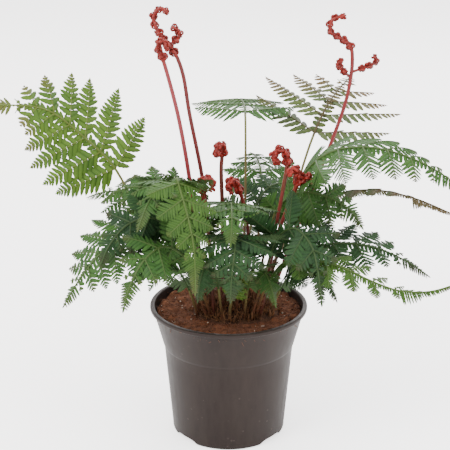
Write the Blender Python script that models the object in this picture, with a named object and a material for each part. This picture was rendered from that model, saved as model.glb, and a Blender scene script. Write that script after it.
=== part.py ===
"""A fern in a round nursery pot.

The pot is a thin moulded shell with a flared collar, a lip and four drain notches in
its foot. It is filled with potting mix, and a scaly crown sits in a pocket in the mix.
Every stem grows from the crown. A frond is a brown stipe, part of the crown, and a
green blade: a three-sided rachis with a pair of cut pinnae at each node. A crozier is
a young frond, still red, that ends in a coil of buds.

Everything is worked out in millimetres and written in metres. The origin is the
centre of the pot's flat underside, +Z is up and -Y is the front.
"""

import math
import random

import bmesh
import bpy
import numpy as np
from mathutils.bvhtree import BVHTree

MM = 0.001
GAP = 0.3  # kept between pieces that touch

# Pot, in millimetres
POT_HEIGHT = 112.0
RIM_RADIUS = 65.0
LIP_DROP = 3.4
LIP_OVERHANG = 2.8
COLLAR_FOOT_Z = 79.6
COLLAR_FOOT_RADIUS = 54.7
BODY_TOP_Z = 77.0
BODY_TOP_RADIUS = 53.6
BODY_FOOT_RADIUS = 47.3
FOOT_CORNER = 2.8
WALL = 1.2
FLOOR = 1.6
POT_SIDES = 28
NOTCH_CENTRES = (50, 130, 230, 310)  # degrees from the front
NOTCH_HALF_ANGLE = 18.0
NOTCH_HEIGHT = 4.6
NOTCH_INNER_RADIUS = 40.0

# Potting mix and crown
MIX_TOP = 106.0
MIX_LUMP = 1.1
MIX_SIDES = 20
CROWN_CENTRE = (6.0, -4.0)
CROWN_HALF = (36.0, 27.0)
CROWN_FOOT_Z = 97.0
CROWN_RISE = 8.0
CROWN_SIDES = 20
STUBS = 5
SCALES = 9

# Stems
STEM_SIDES = 5
STEM_STEP = 32.0
STIPE_RADIUS = 1.05
CROZIER_RADIUS = 1.4
RACHIS_HALF_WIDTH = (1.05, 0.6)  # at the blade's foot and tip
RACHIS_HEIGHT = (1.3, 0.9)

# Coils of the croziers
COIL_STEP = 5.0
BUD_PITCH = 7.0
BUD_SWING = 0.9

# Blades
DOWN = np.array([0.0, 0.0, -1.0])
STATION_CROWDING = 1.35  # above 1, pinna pairs stand closer towards the tip
FIRST_STATION = 0.035  # share of the blade below the first pair
PINNA_ANGLE = (73.0, 46.0)  # to the rachis, at the blade's foot and tip
MOUTH = 1.15  # half the width of a pinna where it joins the rachis
ROOM = 0.93  # share of the space between two pinnae that a pinna may fill
SLIMNESS = 0.24  # most half-width to length of a pinna
SHORTEST_PINNA = 4.5
NOTCH_SHARE = 0.27  # how much of a pinna's half-width is left at a notch
RIDGE = 1.5
LOBE_PITCH = 13.6  # length of pinna to each lobe pair
CLEARANCE = 0.5
RACHIS_STEP = 8.0
RACHIS_WAY = (1.9, 1.2)  # radii kept free round a rachis, at its foot and tip
NECK = 0.3  # share of the blade's end that is bare below its last leaflet
TIP_SLIMNESS = (0.3, 0.2, 0.12, 0.06)  # half-width to length that the last leaflet tries in turn
# Length and extra droop that a pinna tries in turn, to stay clear of what is in its way
WAYS_ROUND = [
    (length, bend)
    for length in (1.0, 0.85, 0.7, 0.55, 0.42)
    for bend in (0.0, 0.3, -0.3, 0.6, -0.5)
]

# Fronds: route points in millimetres, root first. foot is the point where the blade
# starts, face is the way its upper side looks, pairs counts its pinna pairs, reach is
# its longest pinna and droop is how far pinnae hang. louver turns each pinna level.
FRONDS = {
    "upper_left": dict(
        route=[(-18, 4, 102), (-30, 8, 130), (-52, 14, 162), (-78, 20, 195), (-94, 22, 223),
               (-118, 18, 250), (-145, 8, 274), (-190, -8, 282)],
        foot=3.8, face=(0.15, -0.75, 0.65), pairs=9, reach=60, droop=0.15, tone="bright"),
    "upper_right": dict(
        route=[(22, 10, 102), (48, 40, 160), (62, 60, 208), (72, 74, 234),
               (84, 98, 252), (96, 122, 262), (111, 152, 269)],
        foot=3, face=(0, -0.5, 0.8), pairs=6, reach=74, droop=0.1, louver=0.85, tone="olive"),
    "right_big": dict(
        route=[(24, -6, 102), (45, -18, 181), (57, -28, 230), (77, -38, 252),
               (105, -52, 260), (135, -64, 255), (162, -74, 242), (185, -80, 222)],
        foot=1.8, face=(0.1, -0.2, 1), pairs=10, reach=52, droop=0.6, tone="mid"),
    "upper_centre": dict(
        route=[(6, 12, 102), (13, 28, 161), (14, 38, 215), (14, 46, 243),
               (14, 66, 255), (13, 104, 256), (9, 148, 248), (5, 184, 234)],
        foot=4, face=(0, 0.2, 1), pairs=8, reach=52, droop=0.15, tone="mid"),
    "left_droop": dict(
        route=[(-22, -8, 102), (-36, -20, 156), (-52, -32, 181), (-72, -44, 188),
               (-94, -54, 180), (-113, -62, 160), (-128, -67, 136)],
        foot=2.3, face=(-0.2, -0.4, 1), pairs=8, reach=50, droop=0.35, tone="dark"),
    "left_mid": dict(
        route=[(-14, 10, 102), (-36, 24, 149), (-49, 34, 177), (-70, 48, 187),
               (-91, 60, 189), (-107, 68, 186), (-124, 76, 178)],
        foot=1.6, face=(-0.1, -0.3, 1), pairs=8, reach=48, droop=0.3, tone="dark"),
    "left_high": dict(
        route=[(-10, -12, 102), (-22, -22, 160), (-32, -26, 194), (-50, -27, 214),
               (-70, -23, 220), (-88, -17, 214), (-102, -12, 203)],
        foot=1.4, face=(-0.1, -0.5, 1), pairs=8, reach=46, droop=0.4, tone="mid"),
    "front_lime": dict(
        route=[(-12, -14, 102), (-22, -26, 165), (-32, -38, 218), (-39, -52, 236), (-36, -66, 230),
               (-30, -79, 212), (-26, -88, 193), (-25, -93, 175), (-25, -96, 158)],
        foot=2.5, face=(0.1, 0, 1), pairs=9, reach=32, droop=0.2, tone="bright"),
    "front_centre": dict(
        route=[(6, -14, 102), (8, -34, 160), (7, -52, 189), (5, -68, 194),
               (4, -82, 186), (2, -91, 171), (1, -96, 152)],
        foot=1.7, face=(0, 0, 1), pairs=8, reach=42, droop=0.25, tone="dark"),
    "right_edge": dict(
        route=[(28, 2, 102), (39, 8, 164), (48, 8, 192), (78, 8, 202),
               (114, 6, 208), (147, 2, 203), (184, -4, 189)],
        foot=1.5, face=(0, 0.35, 0.94), pairs=10, reach=34, droop=0.1, tone="mid"),
    "right_dark": dict(
        route=[(24, -12, 102), (38, -20, 144), (56, -26, 165), (84, -32, 176),
               (113, -38, 175), (137, -42, 166), (158, -44, 152)],
        foot=1.4, face=(0, -0.3, 1), pairs=8, reach=46, droop=0.3, tone="dark"),
    "right_low": dict(
        route=[(20, -16, 102), (32, -42, 149), (48, -58, 173), (83, -76, 174),
               (107, -86, 166), (127, -92, 161), (148, -98, 163), (168, -104, 172)],
        foot=1.4, face=(0, -0.2, 1), pairs=9, reach=30, droop=0.3, tone="bright"),
    "front_right": dict(
        route=[(17, -20, 102), (28, -36, 150), (38, -50, 188), (50, -64, 200),
               (61, -78, 192), (66, -90, 174), (69, -97, 150)],
        foot=1.4, face=(0.3, -1, 0.45), pairs=8, reach=42, droop=0.25, tone="dark"),
    "front_left": dict(
        route=[(-13, -14, 102), (-25, -38, 148), (-36, -56, 176), (-50, -74, 189),
               (-63, -90, 184), (-73, -102, 168), (-78, -108, 150)],
        foot=1.3, face=(-0.25, -1, 0.6), pairs=8, reach=44, droop=0.3, tone="mid"),
    "centre_high": dict(
        route=[(0, 0, 102), (-2, -2, 160), (3, -10, 197), (2, -28, 208),
               (2, -50, 210), (2, -70, 205), (1, -86, 193)],
        foot=1.8, face=(0, -0.5, 1), pairs=7, reach=44, droop=0.3, tone="mid"),
    "seedling": dict(
        route=[(2, -26, 102), (1, -30, 118), (3, -33, 131), (7, -37, 143), (12, -41, 152)],
        foot=2, face=(0, -0.8, 0.6), pairs=4, reach=12, droop=0.1, tone="bright"),
    "left_inner": dict(
        route=[(-8, -10, 102), (-22, -16, 160), (-32, -22, 202), (-40, -34, 226),
               (-50, -52, 232), (-60, -70, 222), (-68, -84, 204)],
        foot=2.0, face=(-0.1, 0, 1), pairs=7, reach=40, droop=0.3, tone="mid"),
    "right_mid": dict(
        route=[(20, -4, 102), (29, -8, 160), (40, -12, 200), (56, -16, 213),
               (76, -20, 211), (94, -24, 202), (106, -28, 186)],
        foot=1.8, face=(0.1, -0.8, 0.7), pairs=7, reach=38, droop=0.35, tone="mid"),
    "centre_dark": dict(
        route=[(8, 6, 102), (16, 14, 160), (23, 26, 188), (34, 38, 200),
               (50, 48, 200), (66, 56, 190)],
        foot=1.6, face=(0, -0.2, 1), pairs=6, reach=36, droop=0.3, tone="dark"),
    "left_front": dict(
        route=[(-16, -16, 102), (-30, -30, 150), (-44, -44, 190), (-59, -54, 205),
               (-76, -60, 202), (-90, -68, 188), (-98, -72, 170)],
        foot=1.7, face=(-0.2, -0.9, 0.6), pairs=7, reach=38, droop=0.3, tone="dark"),
    "back_centre": dict(
        route=[(12, 9, 102), (24, 40, 148), (28, 56, 186), (28, 80, 200),
               (25, 118, 203), (20, 156, 196)],
        foot=2.2, face=(0, 0.2, 1), pairs=7, reach=36, droop=0.3, tone="mid"),
    "back_left": dict(
        route=[(-4, 9, 102), (-28, 56, 142), (-41, 82, 162), (-58, 112, 174),
               (-73, 136, 176), (-90, 160, 170), (-102, 178, 158)],
        foot=2, face=(-0.1, 0.2, 1), pairs=8, reach=38, droop=0.35, tone="dark"),
    "back_right": dict(
        route=[(19, 5, 102), (44, 52, 136), (58, 84, 153), (76, 114, 158),
               (95, 140, 152), (114, 164, 138)],
        foot=2, face=(0.1, 0.2, 1), pairs=8, reach=36, droop=0.35, tone="dark"),
    "back_low": dict(
        route=[(4, 10, 102), (6, 46, 130), (8, 72, 140), (10, 98, 142),
               (11, 126, 134), (11, 150, 119), (10, 168, 101)],
        foot=2, face=(0, 0.2, 1), pairs=8, reach=34, droop=0.4, tone="dark"),
    "low_left": dict(
        route=[(-24, -12, 102), (-34, -26, 140), (-44, -36, 160), (-56, -44, 168),
               (-68, -50, 162), (-78, -55, 147)],
        foot=0.8, face=(0.1, 0.1, 1), pairs=6, reach=32, droop=0.3, tone="dark"),
    "low_centre": dict(
        route=[(-5, -22, 102), (-9, -36, 146), (-13, -48, 165), (-18, -60, 168),
               (-22, -70, 159), (-24, -77, 144)],
        foot=0.8, face=(0, 0.2, 1), pairs=6, reach=30, droop=0.3, tone="dark"),
    "low_middle": dict(
        route=[(12, -22, 102), (16, -34, 144), (21, -46, 162), (27, -58, 164),
               (32, -68, 155), (36, -76, 140)],
        foot=0.8, face=(0, 0.2, 1), pairs=6, reach=30, droop=0.3, tone="mid"),
    "low_right": dict(
        route=[(31, -12, 102), (44, -23, 138), (54, -34, 156), (65, -45, 161),
               (76, -54, 153), (84, -61, 138)],
        foot=0.8, face=(-0.1, 0.1, 1), pairs=6, reach=32, droop=0.3, tone="dark"),
}

# Croziers: brown up to the point red, buds from the point coil on. Each branch is a
# short side coil of its own.
CROZIERS = {
    "crozier_left": dict(
        route=[(-20, -4, 102), (-26, -6, 169), (-31, -8, 221), (-39, -8, 271), (-46, -8, 301),
               (-51, -8, 319), (-54, -9, 327), (-52, -10, 332), (-48, -10, 330), (-47, -10, 325)],
        red=1, coil=5, bud=2.8, branches=[]),
    "crozier_tall_left": dict(
        route=[(-13, 2, 102), (-16, 2, 166), (-21, 2, 218), (-31, 2, 273), (-36, 2, 305),
               (-42, 1, 321), (-50, 0, 331), (-56, 0, 341), (-57, 0, 350), (-52, 0, 355),
               (-47, 0, 352)],
        red=1, coil=5, bud=2.8,
        branches=[[(-46, 0, 327), (-40, 1, 331), (-38, 1, 337), (-42, 1, 340)]]),
    "crozier_tall_right": dict(
        route=[(31, 5, 102), (46, 14, 143), (64, 22, 191), (84, 26, 244), (95, 26, 281),
               (98, 26, 310), (96, 26, 321), (90, 26, 326), (83, 25, 330), (79, 24, 336),
               (82, 24, 343), (90, 24, 345)],
        red=1, coil=6, bud=2.6,
        branches=[[(97, 26, 296), (90, 24, 302), (86, 23, 308), (90, 22, 311)],
                  [(98, 26, 300), (108, 26, 304), (117, 25, 309), (115, 24, 313)]]),
    "crozier_mid": dict(
        route=[(-5, -12, 102), (-5, -12, 163), (-5, -12, 195), (-6, -12, 232), (-5, -13, 245),
               (-5, -16, 252), (-9, -20, 252), (-10, -21, 244)],
        red=2, coil=4, bud=2.8, branches=[]),
    "crozier_mid_left": dict(
        route=[(-12, -18, 102), (-15, -28, 169), (-19, -32, 208), (-21, -34, 222), (-19, -37, 231),
               (-13, -39, 231), (-13, -39, 223)],
        red=2, coil=3, bud=2.9, branches=[]),
    "crozier_mid_right": dict(
        route=[(9, -6, 102), (16, -8, 162), (13, -8, 195), (8, -9, 213), (3, -11, 222),
               (-1, -13, 218), (2, -14, 212)],
        red=2, coil=3, bud=2.8, branches=[]),
    "crozier_brown": dict(
        route=[(26, -14, 102), (34, -22, 167), (42, -26, 218), (45, -28, 242), (43, -29, 250),
               (37, -30, 252), (34, -31, 246), (38, -31, 242)],
        red=2, coil=3, bud=2.8, branches=[]),
    "crozier_open": dict(
        route=[(24, -18, 102), (37, -34, 180), (47, -42, 215), (52, -46, 231), (52, -49, 240),
               (48, -51, 244), (45, -52, 238)],
        red=2, coil=3, bud=2.6,
        branches=[[(51, -46, 228), (57, -47, 234), (62, -47, 237), (62, -47, 232)]]),
}

TONES = {
    "bright": (0.36, 0.50, 0.10),
    "olive": (0.26, 0.30, 0.12),
    "mid": (0.16, 0.30, 0.08),
    "dark": (0.09, 0.17, 0.06),
}


def unit(vector):
    """The vector at length one."""
    return vector / np.linalg.norm(vector)


def blend(ends, share):
    """The value a share of the way from the first of two ends to the second."""
    return ends[0] + (ends[1] - ends[0]) * share


class Path:
    """A smooth curve through hand-chosen points, read by the distance along it."""

    STEPS = 14

    def __init__(self, route):
        ends = np.array(route, float)
        ends = np.vstack([2 * ends[0] - ends[1], ends, 2 * ends[-1] - ends[-2]])
        rows = [self.span(ends[i:i + 4], step / self.STEPS)
                for i in range(len(route) - 1) for step in range(self.STEPS)]
        self.points = np.array(rows + [ends[-2]])
        steps = np.linalg.norm(np.diff(self.points, axis=0), axis=1)
        self.along = np.concatenate([[0.0], np.cumsum(steps)])
        self.length = self.along[-1]

    @staticmethod
    def span(p, share):
        """A centripetal Catmull-Rom span from the second of four points to the third."""
        knots = np.concatenate([[0.0], np.cumsum(np.linalg.norm(np.diff(p, axis=0), axis=1) ** 0.5)])
        t = knots[1] + (knots[2] - knots[1]) * share
        level = list(p)
        for width in (1, 2):
            level = [((knots[i + width] - t) * level[i] + (t - knots[i]) * level[i + 1])
                     / (knots[i + width] - knots[i]) for i in range(len(level) - 1)]
        return ((knots[2] - t) * level[0] + (t - knots[1]) * level[1]) / (knots[2] - knots[1])

    def knot(self, index):
        """The distance at which the curve passes a route point, or a place between two."""
        return self.along[round(index * self.STEPS)]

    def at(self, distance):
        return np.array([np.interp(distance, self.along, self.points[:, k]) for k in range(3)])

    def heading(self, distance):
        return unit(self.at(min(distance + 1, self.length)) - self.at(max(distance - 1, 0)))

    def nearest(self, spot):
        """The distance at which the curve comes closest to a spot."""
        return self.along[np.argmin(np.linalg.norm(self.points - spot, axis=1))]


class Shell:
    """Vertices and faces of one closed piece as it is built up."""

    def __init__(self):
        self.points = []
        self.faces = []

    def add(self, point):
        self.points.append(np.array(point, float))
        return len(self.points) - 1

    def tree(self, shift=0.0, skipped=0):
        """The piece as a search tree: moved by a shift, and without the faces at its first corners."""
        faces = [face for face in self.faces if min(face) >= skipped]
        return BVHTree.FromPolygons([tuple(p + shift) for p in self.points], faces)


def material(name, colour, roughness):
    """A plain Principled material."""
    made = bpy.data.materials.new(name)
    made.use_nodes = True
    shader = made.node_tree.nodes["Principled BSDF"]
    shader.inputs["Base Color"].default_value = (*colour, 1.0)
    shader.inputs["Roughness"].default_value = roughness
    shader.inputs["Metallic"].default_value = 0.0
    return made


def make_object(name, shell, finish=None):
    """An object from a shell, with its faces turned outwards."""
    mesh = bpy.data.meshes.new(name)
    mesh.from_pydata([tuple(p * MM) for p in shell.points], [], shell.faces)
    work = bmesh.new()
    work.from_mesh(mesh)
    bmesh.ops.recalc_face_normals(work, faces=work.faces)
    if work.calc_volume(signed=True) < 0:
        bmesh.ops.reverse_faces(work, faces=work.faces)
    work.to_mesh(mesh)
    work.free()
    made = bpy.data.objects.new(name, mesh)
    bpy.context.scene.collection.objects.link(made)
    if finish:
        mesh.materials.append(finish)
    return made


def tidy(mesh):
    """Split a mesh into triangles and drop loose scraps and sealed hollows."""
    work = bmesh.new()
    work.from_mesh(mesh)
    bmesh.ops.triangulate(work, faces=work.faces)
    waiting, groups = set(work.faces), []
    while waiting:
        group, edge_of = set(), [waiting.pop()]
        while edge_of:
            face = edge_of.pop()
            group.add(face)
            near = {f for edge in face.edges for f in edge.link_faces} & waiting
            waiting -= near
            edge_of += near
        groups.append(group)
    groups.sort(key=len)
    for group in groups[:-1]:
        bmesh.ops.delete(work, geom=list(group), context="FACES")
    work.to_mesh(mesh)
    work.free()


def combine(body, shells, operation, solver="EXACT"):
    """Unite a body with shells, or cut them from it, and leave only the result."""
    group = bpy.data.collections.new(body.name + "_pieces")
    bpy.context.scene.collection.children.link(group)
    for index, shell in enumerate(shells):
        piece = make_object(f"{body.name}_piece_{index}", shell)
        bpy.context.scene.collection.objects.unlink(piece)
        group.objects.link(piece)
    boolean = body.modifiers.new("combine", "BOOLEAN")
    boolean.operation = operation
    boolean.operand_type = "COLLECTION"
    boolean.collection = group
    boolean.solver = solver
    view = bpy.context.evaluated_depsgraph_get()
    result = bpy.data.meshes.new_from_object(body.evaluated_get(view))
    body.modifiers.remove(boolean)
    result.name = body.name
    body.data = result
    tidy(result)
    for piece in list(group.objects):
        bpy.data.objects.remove(piece)
    bpy.data.collections.remove(group)


def lathe(profile, sides):
    """Turn a profile of (radius, height) points about Z. A radius of 0 is a pole."""
    shell = Shell()
    rings = []
    for radius, height in profile:
        if radius == 0:
            rings.append([shell.add((0, 0, height))])
        else:
            turns = [2 * math.pi * k / sides for k in range(sides)]
            rings.append([shell.add((radius * math.cos(a), radius * math.sin(a), height))
                          for a in turns])
    join_rings(shell, rings)
    return shell


def join_rings(shell, rings):
    """Join each ring of vertices to the next. A ring of one vertex is a pole."""
    for low, high in zip(rings, rings[1:]):
        count = max(len(low), len(high))
        for k in range(count):
            after = (k + 1) % count
            corners = [low[k % len(low)], low[after % len(low)],
                       high[after % len(high)], high[k % len(high)]]
            shell.faces.append(tuple(dict.fromkeys(corners)))


def spaced(start, end, step):
    """Distances from a start to an end, about a step apart."""
    return list(np.linspace(start, end, max(2, round((end - start) / step) + 1)))


def tube(path, distances, radii):
    """A closed stem of STEM_SIDES sides through a path's points at some distances."""
    shell = Shell()
    start, end = distances[0], distances[-1]
    across = unit(np.cross(path.heading(start), (0.31, 0.95, 0.05)))
    rings = []
    for distance in distances:
        heading = path.heading(distance)
        across = unit(across - heading * np.dot(across, heading))
        other = np.cross(heading, across)
        radius = blend(radii, (distance - start) / (end - start))
        turns = [2 * math.pi * j / STEM_SIDES for j in range(STEM_SIDES)]
        rings.append([shell.add(path.at(distance) + radius * (math.cos(a) * across
                                                              + math.sin(a) * other))
                      for a in turns])
    join_rings(shell, rings)
    shell.faces.append(tuple(reversed(rings[0])))
    shell.faces.append(tuple(rings[-1]))
    return shell


def bud(centre, radius):
    """A small faceted bead: a ring of five corners between two points."""
    shell = Shell()
    ring = [shell.add(centre + radius * np.array([math.cos(a), math.sin(a), 0.0]))
            for a in np.arange(5) * 2 * math.pi / 5]
    poles = [[shell.add(centre + np.array([0, 0, side * radius]))] for side in (-1, 1)]
    join_rings(shell, [poles[0], ring, poles[1]])
    return shell


def outer_radius(height):
    """The pot's outer radius at a height, below its lip."""
    lip_foot = POT_HEIGHT - LIP_DROP
    return float(np.interp(height, [FOOT_CORNER, BODY_TOP_Z, COLLAR_FOOT_Z, lip_foot],
                           [BODY_FOOT_RADIUS, BODY_TOP_RADIUS, COLLAR_FOOT_RADIUS,
                            RIM_RADIUS - LIP_OVERHANG]))


def notch_cutter(centre):
    """An arched block that cuts one drain notch through the foot of the pot."""
    steps = 6
    shell = Shell()
    rings = []
    for k in range(steps + 1):
        share = 2 * k / steps - 1
        angle = math.radians(centre + share * NOTCH_HALF_ANGLE) - math.pi / 2
        top = NOTCH_HEIGHT * (1 - share ** 4) - 0.5
        spots = [(NOTCH_INNER_RADIUS, -1), (RIM_RADIUS, -1), (RIM_RADIUS, top),
                 (NOTCH_INNER_RADIUS, top)]
        rings.append([shell.add((r * math.cos(angle), r * math.sin(angle), z))
                      for r, z in spots])
    join_rings(shell, rings)
    shell.faces.append(tuple(reversed(rings[0])))
    shell.faces.append(tuple(rings[-1]))
    return shell


def make_pot():
    """The moulded pot: flat underside, tapered body, flared collar and lip."""
    lip_foot = POT_HEIGHT - LIP_DROP
    neck = RIM_RADIUS - LIP_OVERHANG
    outside = [
        (0, 0), (BODY_FOOT_RADIUS - FOOT_CORNER, 0), (BODY_FOOT_RADIUS - 0.8, 0.8),
        (BODY_FOOT_RADIUS, FOOT_CORNER), (BODY_TOP_RADIUS, BODY_TOP_Z),
        (COLLAR_FOOT_RADIUS, COLLAR_FOOT_Z), (neck, lip_foot), (RIM_RADIUS - 0.4, lip_foot + 0.5),
        (RIM_RADIUS, lip_foot + 1.7), (RIM_RADIUS - 0.4, POT_HEIGHT - 0.4),
        (RIM_RADIUS - 1.4, POT_HEIGHT),
    ]
    inside = [
        (neck - WALL + 0.6, POT_HEIGHT), (neck - WALL, POT_HEIGHT - 1.0),
        (COLLAR_FOOT_RADIUS - WALL, COLLAR_FOOT_Z + 0.4), (BODY_TOP_RADIUS - WALL, BODY_TOP_Z + 0.2),
        (BODY_FOOT_RADIUS - WALL, FOOT_CORNER + 0.4), (BODY_FOOT_RADIUS - FOOT_CORNER, FLOOR),
        (0, FLOOR),
    ]
    pot = make_object("pot", lathe(outside + inside, POT_SIDES),
                      material("pot", (0.075, 0.065, 0.068), 0.42))
    combine(pot, [notch_cutter(centre) for centre in NOTCH_CENTRES], "DIFFERENCE")
    pot.data.shade_smooth()
    pot.data.set_sharp_from_angle(angle=math.radians(35))
    return pot


def crown_outline(angle, margin=0.0):
    """A point on the crown's oval outline, let out by a margin."""
    return (CROWN_CENTRE[0] + (CROWN_HALF[0] + margin) * math.cos(angle),
            CROWN_CENTRE[1] + (CROWN_HALF[1] + margin) * math.sin(angle))


def lump(x, y):
    """The uneven top of the mix: a few crossed waves."""
    return MIX_LUMP * (math.sin(x * 0.31 + 1.0) * math.cos(y * 0.27)
                       + 0.6 * math.sin(x * 0.13 - y * 0.37 + 2.0))


def make_potting_mix():
    """A plug that fills the pot, with a pocket for the crown."""
    shell = Shell()
    turns = [2 * math.pi * k / MIX_SIDES for k in range(MIX_SIDES)]
    fit = GAP + WALL + 0.5
    heights = [FLOOR + GAP, FOOT_CORNER + 3, BODY_TOP_Z - 0.5, COLLAR_FOOT_Z + 1, MIX_TOP - 1.5]
    rings = [[shell.add((0, 0, heights[0]))]]
    for index, height in enumerate(heights):
        # The pot's sides are flat between its corners, so the mix stands inside them.
        inset = fit + outer_radius(height) * (1 - math.cos(math.pi / POT_SIDES))
        radius = outer_radius(height) - inset - (3.0 if index == 0 else 0)
        rings.append([shell.add((radius * math.cos(a), radius * math.sin(a), height))
                      for a in turns])
    for share in (0.86, 0.62, 0.38, 0.16, 0.0):
        ring = []
        for angle in turns:
            near = crown_outline(angle)
            x = near[0] + (radius * math.cos(angle) - near[0]) * share
            y = near[1] + (radius * math.sin(angle) - near[1]) * share
            ring.append(shell.add((x, y, MIX_TOP + lump(x, y))))
        rings.append(ring)
    floor = [shell.add((*crown_outline(a), CROWN_FOOT_Z - GAP)) for a in turns]
    rings += [floor, [shell.add((*CROWN_CENTRE, CROWN_FOOT_Z - GAP))]]
    join_rings(shell, rings)
    return make_object("potting_mix", shell, material("potting_mix", (0.17, 0.075, 0.045), 0.95))


def crown_height(x, y):
    """The crown's rough dome above the mix."""
    reach = math.hypot((x - CROWN_CENTRE[0]) / CROWN_HALF[0], (y - CROWN_CENTRE[1]) / CROWN_HALF[1])
    knobs = 1.2 * math.sin(x * 0.55) * math.cos(y * 0.6 + 0.7)
    return MIX_TOP + (CROWN_RISE + knobs) * max(0.0, 1 - reach ** 2)


def cone(foot, top, radius):
    """A four-sided spike from a foot to a point."""
    shell = Shell()
    heading = unit(np.array(top, float) - foot)
    across = unit(np.cross(heading, (0.3, 0.2, 0.93)))
    other = np.cross(heading, across)
    ring = [shell.add(foot + radius * (math.cos(a) * across + math.sin(a) * other))
            for a in (0, math.pi / 2, math.pi, 3 * math.pi / 2)]
    join_rings(shell, [ring, [shell.add(top)]])
    shell.faces.append(tuple(reversed(ring)))
    return shell


def crown_dressing():
    """Cut-off old stubs and upright papery scales, strewn over the crown by a fixed draw."""
    draw = random.Random(7)
    pieces = []
    for index in range(STUBS + SCALES):
        angle = index * 2.399963 + draw.uniform(-0.2, 0.2)
        reach = math.sqrt((index + 0.6) / (STUBS + SCALES)) * 0.82
        x = CROWN_CENTRE[0] + CROWN_HALF[0] * reach * math.cos(angle)
        y = CROWN_CENTRE[1] + CROWN_HALF[1] * reach * math.sin(angle)
        lean = np.array([math.cos(angle), math.sin(angle), 0]) * draw.uniform(0.2, 0.6)
        ground = crown_height(x, y)
        if index % 3 == 0:
            foot = np.array([x, y, ground - 5])
            route = Path([foot, foot + (lean + (0, 0, 1)) * draw.uniform(9, 15)])
            pieces.append(tube(route, [0, route.length], (2.2, 1.6)))
        else:
            foot = np.array([x, y, ground - 2])
            pieces.append(cone(foot, foot + (lean * 1.4 + (0, 0, 1)) * draw.uniform(7, 11), 1.7))
    return pieces


def make_crown(paths):
    """The rootstock with its stubs, scales, stipes and the brown feet of its croziers."""
    shell = Shell()
    turns = [2 * math.pi * k / CROWN_SIDES for k in range(CROWN_SIDES)]
    rings = [[shell.add((*CROWN_CENTRE, CROWN_FOOT_Z))],
             [shell.add((*crown_outline(a, -3.0), CROWN_FOOT_Z)) for a in turns],
             [shell.add((*crown_outline(a, -0.6), MIX_TOP - 3)) for a in turns]]
    for reach in (0.92, 0.7, 0.45, 0.2):
        ring = []
        for angle in turns:
            x = CROWN_CENTRE[0] + CROWN_HALF[0] * reach * math.cos(angle)
            y = CROWN_CENTRE[1] + CROWN_HALF[1] * reach * math.sin(angle)
            ring.append(shell.add((x, y, crown_height(x, y))))
        rings.append(ring)
    rings.append([shell.add((*CROWN_CENTRE, crown_height(*CROWN_CENTRE)))])
    join_rings(shell, rings)
    crown = make_object("crown", shell, material("crown", (0.20, 0.11, 0.06), 0.8))
    stems = [tube(path, spaced(0, path.knot(stop), STEM_STEP), (radius + 0.25, radius))
             for path, stop, radius in paths]
    combine(crown, stems + crown_dressing(), "UNION")
    return crown


def lobe_width(share):
    """A pinna's half-width along its length, as a share of the widest."""
    return min(1.0, 0.74 + 1.5 * share) * (1 - share ** 1.9)


def grow_pinna(mouth, side_room, root, heading, face, bend, length, half_width):
    """A pinna as vertices and faces: a low roof over an outline cut nearly to the rib.

    mouth holds its three corners on the rachis: the edge on the +W side, the top and
    the edge on the -W side, where W is face x heading. side_room(out, side) is how
    wide the pinna may be, a distance out from the rachis, on each side.
    """
    lobes = int(min(5, max(2, round(length / LOBE_PITCH))))
    notches = [k / (lobes + 0.3) for k in range(lobes)] + [1.0]
    shell = Shell()

    def place(share, across, rise):
        spot = root + length * (heading * share + 0.5 * bend * share ** 2)
        along = unit(heading + bend * share)
        wide = unit(np.cross(face, along))
        return shell.add(spot + wide * across + np.cross(along, wide) * rise)

    plus, ridge, minus = (shell.add(corner) for corner in mouth)
    for k in range(lobes):
        near, far = notches[k], notches[k + 1]
        tip_share = near + (far - near) * 0.6
        reach = half_width * lobe_width(tip_share)
        tips = [place(tip_share, side * min(reach, side_room(tip_share * length, side)), 0.0)
                for side in (1, -1)]
        crest = place(near + (far - near) * 0.5, 0.0, RIDGE * (1 - 0.3 * far))
        if k < lobes - 1:
            waist = min(max(0.9, half_width * lobe_width(far) * NOTCH_SHARE), 0.3 * length)
            cuts = [place(far, side * min(waist, side_room(far * length, side)), 0.0)
                    for side in (1, -1)]
        else:
            cuts = [place(1.0, 0.0, 0.0)] * 2
        shell.faces += [
            (ridge, crest, plus), (plus, crest, tips[0]), (tips[0], crest, cuts[0]),
            (ridge, minus, crest), (minus, tips[1], crest), (tips[1], cuts[1], crest),
            (plus, tips[0], cuts[0]), (minus, cuts[1], tips[1]),
        ]
        under = tuple(dict.fromkeys((plus, cuts[0], cuts[1], minus)))
        shell.faces += [under] if len(under) == 3 else [under[:3], (under[0], *under[2:])]
        plus, ridge, minus = cuts[0], crest, cuts[1]
    return shell


def is_clear(pinna, face, trees, bearer):
    """Whether a pinna, thickened by the clearance, misses everything placed before it.

    bearer is the rachis that it grows from, which only its mouth may touch.
    """
    for shift in (-CLEARANCE, 0.0, CLEARANCE):
        own = pinna.tree(unit(face) * shift)
        if any(own.overlap(tree) for tree in trees):
            return False
    return not pinna.tree(skipped=3).overlap(bearer)


def stations(pairs):
    """Shares of the blade's length at which the pinna pairs stand."""
    return [FIRST_STATION + (1 - FIRST_STATION) * (1 - (1 - k / pairs) ** STATION_CROWDING)
            for k in range(pairs)]


def pinna_length(share):
    """A pinna's length up the blade, as a share of the longest: broad, then a drawn-out tip."""
    broad = max(0.0, 1 - (share / 0.8) ** 2.2)
    return min(1.0, 0.84 + 0.9 * share) * (0.76 * broad + 0.24 * (1 - share) ** 0.7)


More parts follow.
